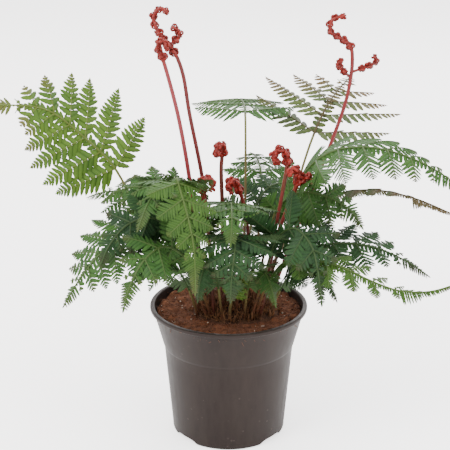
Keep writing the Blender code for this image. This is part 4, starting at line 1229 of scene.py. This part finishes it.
def rings_object(name, rows):
    """An object from rings of points, joined in order."""
    points, rings = [], []
    for row in rows:
        rings.append(list(range(len(points), len(points) + len(row))))
        points += row
    made = mesh_object(name, points, faces=join_rings(rings))
    face_outwards(made.data)
    return made


def capped(rows):
    """Rings with a pole added in the middle of each end."""
    first, last = ([tuple(np.mean(row, axis=0))] for row in (rows[0], rows[-1]))
    return [first, *rows, last]


def lathe(name, profile, sides):
    """Turn a profile of (radius, height) points about Z."""
    return rings_object(name, [
        [(0, 0, z)] if r == 0 else [(r * math.cos(a), r * math.sin(a), z) for a in turns(sides)]
        for r, z in profile])


# %% Pot
def notch_cutter(centre):
    """An arched block that cuts one drain notch through the foot of the pot."""
    rows = []
    for share in np.linspace(-1, 1, 19):
        angle = math.radians(centre + share * NOTCH_HALF_ANGLE) - math.pi / 2
        top = NOTCH_HEIGHT * (1 - share ** 4) - 0.5
        spots = [(NOTCH_INNER_RADIUS, -1), (RIM_RADIUS, -1), (RIM_RADIUS, top), (NOTCH_INNER_RADIUS, top)]
        rows.append([(r * math.cos(angle), r * math.sin(angle), z) for r, z in spots])
    return rings_object("notch", capped(rows))


def cut(body, tools):
    """Cut tools from a body by a Boolean, and remove them."""
    for tool in tools:
        boolean = body.modifiers.new("cut", "BOOLEAN")
        boolean.operation, boolean.object, boolean.solver = "DIFFERENCE", tool, "EXACT"
    apply_modifiers(body)
    for tool in tools:
        bpy.data.objects.remove(tool)


# outside, from the middle of the underside up to the lip
profile = [(0, 0), (BODY_FOOT_RADIUS - 14, 0), (BODY_FOOT_RADIUS - FOOT_CORNER, 0)]
profile += arc((BODY_FOOT_RADIUS - FOOT_CORNER + 0.2, FOOT_CORNER - 0.2), FOOT_CORNER - 0.2, -80, -5, 6)
profile += slope((BODY_FOOT_RADIUS, FOOT_CORNER + 1), (BODY_TOP_RADIUS, BODY_TOP_Z), 8)
profile += [(BODY_TOP_RADIUS + 0.15, BODY_TOP_Z + 0.5), (COLLAR_FOOT_RADIUS - 0.15, COLLAR_FOOT_Z - 0.5)]
profile += slope((COLLAR_FOOT_RADIUS, COLLAR_FOOT_Z), (neck, lip_foot - 0.8), 5)
profile += [(neck + 0.35, lip_foot - 0.1)]
profile += arc((RIM_RADIUS - LIP_FOOT_ROUND, lip_foot + 1.1), LIP_FOOT_ROUND, -80, 0, 5)
profile += arc((RIM_RADIUS - LIP_ROUND, POT_HEIGHT - LIP_ROUND), LIP_ROUND, 0, 90, 6)
# inside, from the lip down to the middle of the floor
profile += [(neck + 0.5, POT_HEIGHT)]
profile += arc((neck, POT_HEIGHT - LIP_ROUND), LIP_ROUND, 90, 180, 5)
profile += slope((neck - WALL, POT_HEIGHT - 2), (COLLAR_FOOT_RADIUS - WALL, COLLAR_FOOT_Z + 0.4), 4)
profile += [(BODY_TOP_RADIUS - WALL, BODY_TOP_Z + 0.2), (BODY_FOOT_RADIUS - WALL, FOOT_CORNER + 0.4),
            (BODY_FOOT_RADIUS - FOOT_CORNER, FLOOR), (0, FLOOR)]
pot = lathe("nursery_pot", profile, POT_SIDES)
cut(pot, [notch_cutter(centre) for centre in NOTCH_CENTRES])
pot.data.materials.clear()
pot.data.materials.append(pot_finish)
pot.data.shade_smooth()
pot.data.set_sharp_from_angle(angle=math.radians(38))
finish_piece(pot, "pot", "pot")

# %% [markdown]
# ## The potting mix
# The pot is filled with damp coir: short brown fibres and flakes, some bark, and a few pale crumbs of
# perlite. A lumpy plug carries them. What lies loose on it is scattered by Geometry Nodes, which
# puts points on the upper faces by chance and sets a turned, scaled copy on each. Separate trees
# could do this, but one tree with named inputs serves the fibres, the chips and the crumbs alike,
# and later the scales of the crown.

# %% Mix and crown sizes
MIX_TOP = 106.0
MIX_LUMP = 1.1
MIX_SIDES, CROWN_SIDES = 120, 72
CROWN_CENTRE, CROWN_HALF = (6.0, -4.0), (36.0, 27.0)
CROWN_FOOT_Z = 97.0
CROWN_RISE = 8.0


def outer_radius(height):
    """The pot's outer radius at a height, below its lip."""
    return float(np.interp(height, [FOOT_CORNER, BODY_TOP_Z, COLLAR_FOOT_Z, lip_foot],
                           [BODY_FOOT_RADIUS, BODY_TOP_RADIUS, COLLAR_FOOT_RADIUS, neck]))


def crown_outline(angle, margin=0.0):
    """A point on the crown's oval outline, let out by a margin."""
    return (CROWN_CENTRE[0] + (CROWN_HALF[0] + margin) * math.cos(angle),
            CROWN_CENTRE[1] + (CROWN_HALF[1] + margin) * math.sin(angle))


def crumble(x, y, size, seed):
    """Fine bumps of the ground at a spot, in millimetres."""
    spot = Vector((x / size, y / size, seed))
    return noise.fractal(spot, 0.8, 2.1, 4)


def ground(x, y):
    """The uneven top of the mix: a few crossed waves and fine crumbs."""
    waves = math.sin(x * 0.31 + 1.0) * math.cos(y * 0.27) + 0.6 * math.sin(x * 0.13 - y * 0.37 + 2.0)
    return MIX_TOP + MIX_LUMP * waves + 0.8 * crumble(x, y, 3.5, 3.0)


# %% Mix plug
rows = [[(0, 0, FLOOR + GAP)]]
for height in (FLOOR + GAP, FOOT_CORNER + 3, BODY_TOP_Z - 0.5, COLLAR_FOOT_Z + 1, MIX_TOP - 2.5):
    radius = outer_radius(height) - WALL - GAP - (3.0 if height < FOOT_CORNER else 0)
    rows.append([(radius * math.cos(a), radius * math.sin(a), height) for a in turns(MIX_SIDES)])
for share in np.linspace(0.985, 0.0, 24):
    row = []
    for angle in turns(MIX_SIDES):
        near = crown_outline(angle)
        x = near[0] + (radius * math.cos(angle) - near[0]) * share
        y = near[1] + (radius * math.sin(angle) - near[1]) * share
        row.append((x, y, ground(x, y)))
    rows.append(row)
rows.append([(*crown_outline(a), CROWN_FOOT_Z - GAP) for a in turns(MIX_SIDES)])
rows.append([(*CROWN_CENTRE, CROWN_FOOT_Z - GAP)])
plug = rings_object("coir_mix", rows)
plug.data.materials.append(mix_finish)
plug.data.shade_smooth()
finish_piece(plug, "potting_mix", "potting_mix")


# %% Loose bits
def blob(name, lengths, rough, seed):
    """A small rough crumb, one across: a stretched icosphere with its points moved by chance."""
    mesh = bpy.data.meshes.new(name)
    work = bmesh.new()
    bmesh.ops.create_icosphere(work, subdivisions=1, radius=0.5)
    draw = random.Random(seed)
    for vertex in work.verts:
        vertex.co = Vector(c * s * (1 + draw.uniform(-rough, rough)) for c, s in zip(vertex.co, lengths))
    work.to_mesh(mesh)
    work.free()
    return bpy.data.objects.new(name, mesh)


def strand(name, bends, radius):
    """A bent three-sided thread, one long, through a few points, with pointed ends."""
    path = Path(np.array(bends) / MM)
    rings = [[path.at(0)]]
    places = np.linspace(0, path.length, 8)
    for distance in places[1:]:
        size = radius * (0.4 if distance == places[-1] else 1.0) / MM
        across = unit(np.cross(path.heading(distance), (0.1, 0.2, 1)))
        other = np.cross(path.heading(distance), across)
        rings.append([path.at(distance) + size * (math.cos(a) * across + math.sin(a) * other)
                      for a in turns(3)])
    return stencil(rings_object(name, [*rings, [path.at(path.length)]]))


def papery_scale(name):
    """A thin brown scale, one long, lying along X, curled and drawn out to a point."""
    shares = (0.0, 0.2, 0.45, 0.7, 0.9)
    widths = (0.05, 0.15, 0.14, 0.09, 0.03)
    points, faces = [], []
    for t, wide in zip(shares, widths):
        rise = 0.22 * t * t
        points += [(t, wide, rise), (t, 0, rise + 0.03), (t, -wide, rise), (t, 0, rise - 0.02)]
    points.append((1.0, 0, 0.24))
    for k in range(len(shares) - 1):
        for j in range(4):
            a, b = 4 * k + j, 4 * k + (j + 1) % 4
            faces.append((a, b, b + 4, a + 4))
    last = 4 * (len(shares) - 1)
    faces += [(last + j, last + (j + 1) % 4, len(points) - 1) for j in range(4)]
    faces.append((3, 2, 1, 0))
    made = mesh_object(name, np.array(points) / MM, faces=faces)
    face_outwards(made.data)
    return stencil(made)


# %% Strewing tree
FULL_TURN = 6.283  # radians


def strew_tree():
    """The tree that scatters copies of a bit over the upper faces of a piece."""
    tree, given, result = new_tree(
        "Strew", "GeometryNodeTree",
        [("Ground", "Geometry", None), ("Bit", "Object", None), ("Density", "Float", 1e5),
         ("Smallest", "Float", 0.001), ("Largest", "Float", 0.003), ("Lowest", "Float", 0.1),
         ("Tilt", "Float", 0.3), ("Stand", "Float", 0.0), ("Seed", "Int", 0), ("Finish", "Material", None)],
        [("Bits", "Geometry")])
    place = add(tree, "ShaderNodeSeparateXYZ", {"Vector": tree.nodes.new("GeometryNodeInputPosition")})
    high = math_node(tree, "GREATER_THAN", place.outputs["Z"], given["Lowest"])
    points = add(tree, "GeometryNodeDistributePointsOnFaces", {
        "Mesh": given["Ground"], "Selection": high, "Density": given["Density"], "Seed": given["Seed"]})
    seed = given["Seed"]
    yaw = chance(tree, 0.0, FULL_TURN, seed)
    pitch = math_node(tree, "SUBTRACT", swing(tree, given["Tilt"], plus(tree, seed, 1.0)), given["Stand"])
    roll = swing(tree, given["Tilt"], plus(tree, seed, 2.0))
    turn = add(tree, "FunctionNodeEulerToRotation",
               {0: add(tree, "ShaderNodeCombineXYZ", {"X": roll, "Y": pitch, "Z": yaw})})
    size = chance(tree, given["Smallest"], given["Largest"], plus(tree, seed, 3.0))
    placed = add(tree, "GeometryNodeInstanceOnPoints", {
        "Points": points.outputs["Points"], "Instance": object_shape(tree, given["Bit"]),
        "Rotation": turn, "Scale": size})
    real = add(tree, "GeometryNodeRealizeInstances", {"Geometry": placed})
    done = add(tree, "GeometryNodeSetMaterial", {"Geometry": real, "Material": given["Finish"]})
    tree.links.new(outlet(done), result["Bits"])
    return tree


strew = strew_tree()


def strewn(name, carrier, bit, used, density, sizes, lowest, tilt, seed, stand=0.0):
    """Scatter a bit over a piece, as an object of its own. density is bits per square centimetre."""
    host = bpy.data.objects.new(name, carrier.data.copy())
    bpy.context.scene.collection.objects.link(host)
    return run_tree(host, strew, {
        "Bit": bit, "Density": density * 1e4, "Smallest": sizes[0] * MM, "Largest": sizes[1] * MM,
        "Lowest": lowest * MM, "Tilt": tilt, "Stand": stand, "Seed": seed, "Finish": used})


# %% Strewn mix
SURFACE = MIX_TOP - 2.2  # faces of the mix above this height carry bits
thread = strand("thread", [(-0.5, 0, 0), (-0.2, 0.09, 0.04), (0.15, -0.03, 0.02), (0.5, 0.1, 0.0)], 0.012)
chip = blob("chip", (1.0, 0.62, 0.3), 0.25, 5)
crumb = blob("crumb", (1.0, 0.85, 0.75), 0.18, 9)
for name, bit, used, density, sizes, tilt, seed in (
        ("coir_fibres", thread, fibre_finish, 11.0, (6, 15), 0.5, 1),
        ("bark_chips", chip, chip_finish, 11.0, (1.2, 4.2), 0.8, 2),
        ("perlite", crumb, perlite_finish, 0.42, (0.9, 2.4), 1.5, 3)):
    finish_piece(strewn(name, plug, bit, used, density, sizes, SURFACE, tilt, seed),
                 "potting_mix", "potting_mix")


# %% [markdown]
# ## The crown and its stems
# All stems rise from one woody crown, rough with the cut stubs of old fronds and wrapped in brown
# papery scales. The scales run up the foot of each young stem and thin out. The stems are swept along
# the same curves as in the solid, a little thicker at the foot, and a Geometry Nodes tree
# sets scales along them, turned by chance round the stem.


# %% Crown
def crown_top(x, y):
    """The crown's rough dome above the mix."""
    reach = math.hypot((x - CROWN_CENTRE[0]) / CROWN_HALF[0], (y - CROWN_CENTRE[1]) / CROWN_HALF[1])
    knobs = 1.2 * math.sin(x * 0.55) * math.cos(y * 0.6 + 0.7)
    rise = (CROWN_RISE + knobs) * max(0.0, 1 - reach ** 2)
    return MIX_TOP + rise + 1.0 * crumble(x, y, 5.0, 8.0) * min(1.0, 3 * (1 - reach))


rows = [[(*CROWN_CENTRE, CROWN_FOOT_Z)],
        [(*crown_outline(a, -3.0), CROWN_FOOT_Z) for a in turns(CROWN_SIDES)],
        [(*crown_outline(a, -0.6), MIX_TOP - 3) for a in turns(CROWN_SIDES)]]
for reach in np.linspace(0.97, 0.04, 24):
    spots = [(CROWN_CENTRE[0] + CROWN_HALF[0] * reach * math.cos(a),
              CROWN_CENTRE[1] + CROWN_HALF[1] * reach * math.sin(a)) for a in turns(CROWN_SIDES)]
    rows.append([(x, y, crown_top(x, y)) for x, y in spots])
rows.append([(*CROWN_CENTRE, crown_top(*CROWN_CENTRE))])
rootstock = rings_object("rootstock", rows)
rootstock.data.materials.append(root_finish)
rootstock.data.shade_smooth()
finish_piece(rootstock, "crown", "crown")
paper_scale = papery_scale("papery_scale")
finish_piece(strewn("crown_scales", rootstock, paper_scale, scale_finish, 26.0, (4, 9.5), MIX_TOP + 0.5,
                    tilt=0.7, seed=4, stand=0.75), "crown", "crown")


# %% Stem tree
def stem_tree():
    """The tree that sweeps stems and sets papery scales round them."""
    tree, given, result = new_tree(
        "Grow stems", "GeometryNodeTree",
        [("Ribs", "Geometry", None), ("Scale", "Object", None), ("Scale pitch", "Float", 0.002),
         ("Scale length", "Float", 0.004), ("Covered", "Float", 0.3), ("Rib sides", "Int", 8),
         ("Seed", "Int", 0), ("Stem finish", "Material", None), ("Scale finish", "Material", None)],
        [("Stems", "Geometry")])
    curves = add(tree, "GeometryNodeMeshToCurve", {"Mesh": given["Ribs"]})
    stems = add(tree, "GeometryNodeSetMaterial", {
        "Geometry": sweep_ribs(tree, curves, given["Rib sides"]), "Material": given["Stem finish"]})
    stems = add(tree, "GeometryNodeSetShadeSmooth", {"Geometry": stems, "Shade Smooth": True})

    # scales: each stands off the stem on a side that chance picks, and leans along it
    spaced = add(tree, "GeometryNodeResampleCurve", {"Curve": curves, "Length": given["Scale pitch"]},
                 mode="LENGTH")
    ahead = attribute(tree, "ahead", "FLOAT_VECTOR")
    side = add(tree, "ShaderNodeCombineXYZ",
               {axis: chance(tree, -1.0, 1.0, plus(tree, given["Seed"], float(k)))
                for k, axis in enumerate("XYZ")})
    outward = vector_math(tree, "NORMALIZE", vector_math(tree, "CROSS_PRODUCT", ahead, side))
    pointing = vector_math(tree, "ADD", outward, scaled(tree, ahead, 1.9))
    skin = scaled(tree, outward, times(tree, attribute(tree, "girth"), 0.85 * MM))
    lifted = add(tree, "GeometryNodeSetPosition", {"Geometry": spaced, "Offset": skin})
    thinning = math_node(tree, "SUBTRACT", 1.0,
                         math_node(tree, "DIVIDE", attribute(tree, "along"), given["Covered"]))
    kept = math_node(tree, "LESS_THAN", chance(tree, 0.0, 1.0, plus(tree, given["Seed"], 7.0)), thinning)
    size = times(tree, given["Scale length"], chance(tree, 0.55, 1.25, plus(tree, given["Seed"], 9.0)))
    placed = add(tree, "GeometryNodeInstanceOnPoints", {
        "Points": lifted, "Selection": kept, "Instance": object_shape(tree, given["Scale"]),
        "Rotation": aim(tree, pointing, outward), "Scale": size})
    scales = add(tree, "GeometryNodeSetMaterial", {
        "Geometry": add(tree, "GeometryNodeRealizeInstances", {"Geometry": placed}),
        "Material": given["Scale finish"]})
    tree.links.new(outlet(join(tree, (stems, scales))), result["Stems"])
    return tree


grow_stems = stem_tree()
print("stem tree has", len(grow_stems.nodes), "nodes")

# %% [markdown]
# A stem is dark brown at its foot and turns green or straw-coloured towards the blade. The material
# reads how far along the stem a point is, which the plan stored, and mixes the two.


# %% Stem finish
def tint_by(made, change):
    """Put more nodes between a material's group and its base colour."""
    tree = made.node_tree
    socket = tree.nodes["Principled BSDF"].inputs["Base Color"]
    tree.links.new(change(tree, socket.links[0].from_socket), socket)
    return made


def stem_material(name, foot, top, fleck, rough):
    """A mottled skin whose tone runs from one colour at the foot to another at the top."""
    def rise(tree, below):
        return blend_colour(tree, ramp(tree, named(tree, "along"), 0.25, 0.95), below, rgba(top))

    shade = tuple(c * 0.45 for c in foot)
    return tint_by(mottled(name, foot, shade, fleck, 0.0002, rough, {"Specular_IOR_Level": 0.25}, Scale=220.0,
                           Stretch=3.0, Fleck_scale=700.0, Fleck_strength=0.6), rise)


stipe_finish = stem_material("stipe skin", (0.12, 0.045, 0.022), (0.085, 0.085, 0.024),
                             (0.03, 0.012, 0.007), (0.42, 0.6))
brown_finish = stem_material("young stem foot", (0.09, 0.026, 0.015), (0.14, 0.022, 0.018),
                             (0.04, 0.015, 0.01), (0.4, 0.55))


# %% Stems
STIPE_RADIUS, CROZIER_RADIUS = 1.05, 1.4
STIPE_FLARE, CROZIER_FLARE = 0.7, 0.6  # how much thicker each is at its foot


def add_stem(ribs, path, end, radius, flare, step=4.0):
    """Add the guide line of a stem, from its foot up, thinning over its lowest third."""
    places = list(np.linspace(0, end, max(3, round(end / step))))
    shares = list(np.linspace(0, 1, len(places)))
    ribs.follow(path, places, along=shares,
                girth=[mix((radius + flare, radius), min(1.0, 3.0 * s)) for s in shares])


stipes, feet = Ribs(), Ribs()
for frond in FRONDS.values():
    path = Path(frond["route"])
    add_stem(stipes, path, path.knot(frond["foot"]) + 2 * GAP, STIPE_RADIUS, STIPE_FLARE)
for crozier in CROZIERS.values():
    path = Path(crozier["route"])
    add_stem(feet, path, path.knot(crozier["red"]), CROZIER_RADIUS, CROZIER_FLARE)
for name, ribs, used, seed in (
        ("stipes", stipes, stipe_finish, 20), ("crozier_feet", feet, brown_finish, 40)):
    finish_piece(run_tree(ribs.object(name), grow_stems, {
        "Scale": paper_scale, "Scale pitch": 1.1 * MM, "Scale length": 5.0 * MM, "Covered": 0.6,
        "Seed": seed, "Stem finish": used, "Scale finish": scale_finish}), "crown", "crown")


# %% [markdown]
# ## The croziers
# The young fronds are what gives this fern its name in autumn and spring: they come up brick red and
# coiled, and each side branch of the coil is a small coil too. The stem is swept as before. Round the
# coil a tree sets four rows of small snail-shaped buds, turned by chance, which hide the stem as the
# packed young pinnae do on the real one. They shrink towards the tip, and swell and shrink along the
# coil in knots.


# %% Bud mesh
def snail(name, turns_round, sides, steps):
    """A small coil, one across: a tube that winds in on itself and thins."""
    rows = []
    for k in range(steps + 1):
        share = k / steps
        angle = 2 * math.pi * turns_round * share
        wind = 0.5 * (1 - 0.82 * share)
        thick = 0.31 * (1 - 0.55 * share)
        centre = np.array([wind * math.cos(angle), 0.10 * math.sin(7 * share), wind * math.sin(angle)])
        outward = np.array([math.cos(angle), 0, math.sin(angle)])
        rows.append([centre / MM + thick / MM * (math.cos(a) * outward + math.sin(a) * np.array([0, 1.25, 0]))
                     for a in turns(sides)])
    return stencil(rings_object(name, capped(rows)))


bud = snail("bud", turns_round=1.2, sides=5, steps=12)
print("one bud has", triangles(bud), "triangles")

# %% Crozier tree
SMALLEST_BUD = 0.3 * MM


def crozier_tree():
    """The tree that sweeps a crozier's stem and sets four rows of buds round its coil."""
    tree, given, result = new_tree(
        "Grow crozier", "GeometryNodeTree",
        [("Ribs", "Geometry", None), ("Bud", "Object", None), ("Bud pitch", "Float", 0.002),
         ("Spread", "Float", 0.42), ("Turn", "Float", 0.5), ("Rib sides", "Int", 10), ("Seed", "Int", 0),
         ("Finish", "Material", None)],
        [("Crozier", "Geometry")])
    curves = add(tree, "GeometryNodeMeshToCurve", {"Mesh": given["Ribs"]})
    parts = [sweep_ribs(tree, curves, given["Rib sides"])]
    spaced = add(tree, "GeometryNodeResampleCurve", {"Curve": curves, "Length": given["Bud pitch"]},
                 mode="LENGTH")
    up, ahead = attribute(tree, "up", "FLOAT_VECTOR"), attribute(tree, "ahead", "FLOAT_VECTOR")
    size = times(tree, attribute(tree, "bud"), MM)
    across = vector_math(tree, "CROSS_PRODUCT", ahead, up)
    for number, (side, sign) in enumerate(((up, 1.0), (across, 1.0), (up, -1.0), (across, -1.0))):
        seed = plus(tree, given["Seed"], 10.0 * number)
        outward = scaled(tree, side, sign)
        away = scaled(tree, outward, times(tree, size, given["Spread"]))
        beside = add(tree, "GeometryNodeSetPosition", {"Geometry": spaced, "Offset": away})
        placed = add(tree, "GeometryNodeInstanceOnPoints", {
            "Points": beside, "Selection": math_node(tree, "GREATER_THAN", size, SMALLEST_BUD),
            "Instance": object_shape(tree, given["Bud"]),
            "Rotation": jitter(tree, aim(tree, ahead, outward), given["Turn"], seed),
            "Scale": times(tree, size, chance(tree, 0.7, 1.1, seed))})
        parts.append(keep(tree, placed, "coil", 1.0, "INSTANCE"))
    real = add(tree, "GeometryNodeRealizeInstances", {"Geometry": join(tree, parts)})
    smooth = add(tree, "GeometryNodeSetShadeSmooth", {"Geometry": real, "Shade Smooth": True})
    done = add(tree, "GeometryNodeSetMaterial", {"Geometry": smooth, "Material": given["Finish"]})
    tree.links.new(outlet(done), result["Crozier"])
    return tree


grow_crozier = crozier_tree()
print("crozier tree has", len(grow_crozier.nodes), "nodes")

# %% [markdown]
# The skin of a crozier is red and glossy on the coil, with brown down in its folds. Its stem has a
# colour of its own, from pink to a brown that is nearly black. So each crozier gets its own material
# from the same group, and the stored value coil tells the two apart.

# %% Crozier finishes
STEM_COLOURS = {
    "crozier_left": (0.19, 0.026, 0.034), "crozier_tall_left": (0.085, 0.012, 0.013),
    "crozier_tall_right": (0.14, 0.014, 0.016), "crozier_mid": (0.036, 0.014, 0.009),
    "crozier_mid_left": (0.11, 0.024, 0.016), "crozier_mid_right": (0.065, 0.018, 0.012),
    "crozier_brown": (0.075, 0.028, 0.012), "crozier_open": (0.08, 0.022, 0.010)}


def crozier_material(name, stem):
    """The red skin of a coil, and another colour on the stem below it."""
    def redden(tree, skin):
        dull = blend_colour(tree, 0.3, rgba(stem), skin)
        return blend_colour(tree, ramp(tree, named(tree, "coil"), 0.0, 1.0), dull, skin)

    return tint_by(mottled(
        name + " skin", (0.25, 0.016, 0.010), (0.085, 0.006, 0.004), (0.08, 0.028, 0.012), 0.00025,
        (0.28, 0.42), {"Specular_IOR_Level": 0.3}, Scale=330.0, Fleck_scale=900.0, Fleck_size=0.25,
        Fleck_strength=0.7), redden)


# %% Plan of a coil
STEM_STEP, COIL_STEP = 5, 1.5  # millimetres between the points of a guide line
REDDENING = 12  # millimetres below the coil over which a stem turns to the coil's red
TAPER = 0.3  # how much smaller the buds are at the coil's tip
LUMPS, LUMP_LENGTH = 0.42, 6.5  # buds swell and shrink along a coil, as each side branch is a knot


def plan_coil(ribs, path, start, coil_start, bud_size, girth):
    """Add the guide line of a red stem or branch, with buds from the coil's start on."""
    stem, coil = coil_start - start, path.length - coil_start
    places = list(np.linspace(start, coil_start, max(3, round(stem / STEM_STEP))))[:-1]
    places += list(np.linspace(coil_start, path.length, max(8, round(coil / COIL_STEP))))
    shares = [(d - start) / (path.length - start) for d in places]
    buds = []
    for d in places:
        lump = 1 + LUMPS * math.cos(2 * math.pi * (d - coil_start) / LUMP_LENGTH)
        thinned = bud_size * (1 - TAPER * max(0.0, (d - coil_start) / coil))
        buds.append(thinned * lump if d >= coil_start else 0.0)
    flat = np.cross(path.points[-1] - path.at(coil_start), path.heading(coil_start))
    up = unit(flat) if np.linalg.norm(flat) > 1e-6 else np.array([0, 1.0, 0])
    ribs.follow(path, places, up=up, along=shares, girth=[mix(girth, s) for s in shares], bud=buds,
                coil=[min(1.0, max(0.0, 1 - (coil_start - d) / REDDENING)) for d in places])


# %% Grow the croziers
STEM_SHARE = 1.22  # a red stem's thickness over that of the solid's
BUD_SHARE = 1.15  # a bud's size over that of the solid's beads
TIGHT = 1.12  # the low ones are still tight fists, with larger buds
for seed, (name, crozier) in enumerate(CROZIERS.items()):
    path, ribs = Path(crozier["route"]), Ribs()
    full = BUD_SHARE * (TIGHT if crozier["red"] == 2 else 1.0)
    plan_coil(ribs, path, path.knot(crozier["red"]) - GAP, path.knot(crozier["coil"]), full * crozier["bud"],
              (STEM_SHARE * CROZIER_RADIUS, 1.5))
    for branch in crozier["branches"]:
        side = Path(branch)
        plan_coil(ribs, side, 0, side.length * 0.3, BUD_SHARE * crozier["bud"], (1.1, 0.9))
    finish_piece(run_tree(ribs.object("young_" + name), grow_crozier, {
        "Bud": bud, "Seed": 60 + seed, "Finish": crozier_material(name, STEM_COLOURS[name])}),
        "crozier", name)


# %% [markdown]
# ## Floor, sizes and finish
# The floor is a pale sheet that isn't part of the plant, so it is marked as stage. It glows a little
# for the camera alone, so that it runs into the sky without a line. The dressed model is meant to fill
# the same box as the solids; both boxes are kept in a table, and the dressed one is printed.

# %% Floor
FLOOR_HALF = 6.0  # metres
FLOOR_GLOW = 1.6  # how much light the floor seems to give, to the camera alone
floor = mesh_object("floor", np.array([(-1, -1, 0), (1, -1, 0), (1, 1, 0), (-1, 1, 0)]) * FLOOR_HALF / MM,
                    faces=[(0, 1, 2, 3)])
paper = bpy.data.materials.new("pale floor")
paper.use_nodes = True
tree = paper.node_tree
shader = tree.nodes["Principled BSDF"].inputs
shader["Base Color"].default_value = (0.94, 0.93, 0.93, 1)
shader["Roughness"].default_value = 0.7
shader["Emission Color"].default_value = PALE
glow = times(tree, add(tree, "ShaderNodeLightPath").outputs["Is Camera Ray"], FLOOR_GLOW)
tree.links.new(outlet(glow), shader["Emission Strength"])
floor.data.materials.append(paper)
floor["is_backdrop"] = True
print("the floor is", 2 * FLOOR_HALF, "m wide")

# %% Sizes and finish
low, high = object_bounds()
sizes = {"cad": [list(cad_low), list(cad_high)], "visual": [list(low), list(high)]}
print("dressed box in mm:", box_size(low, high))
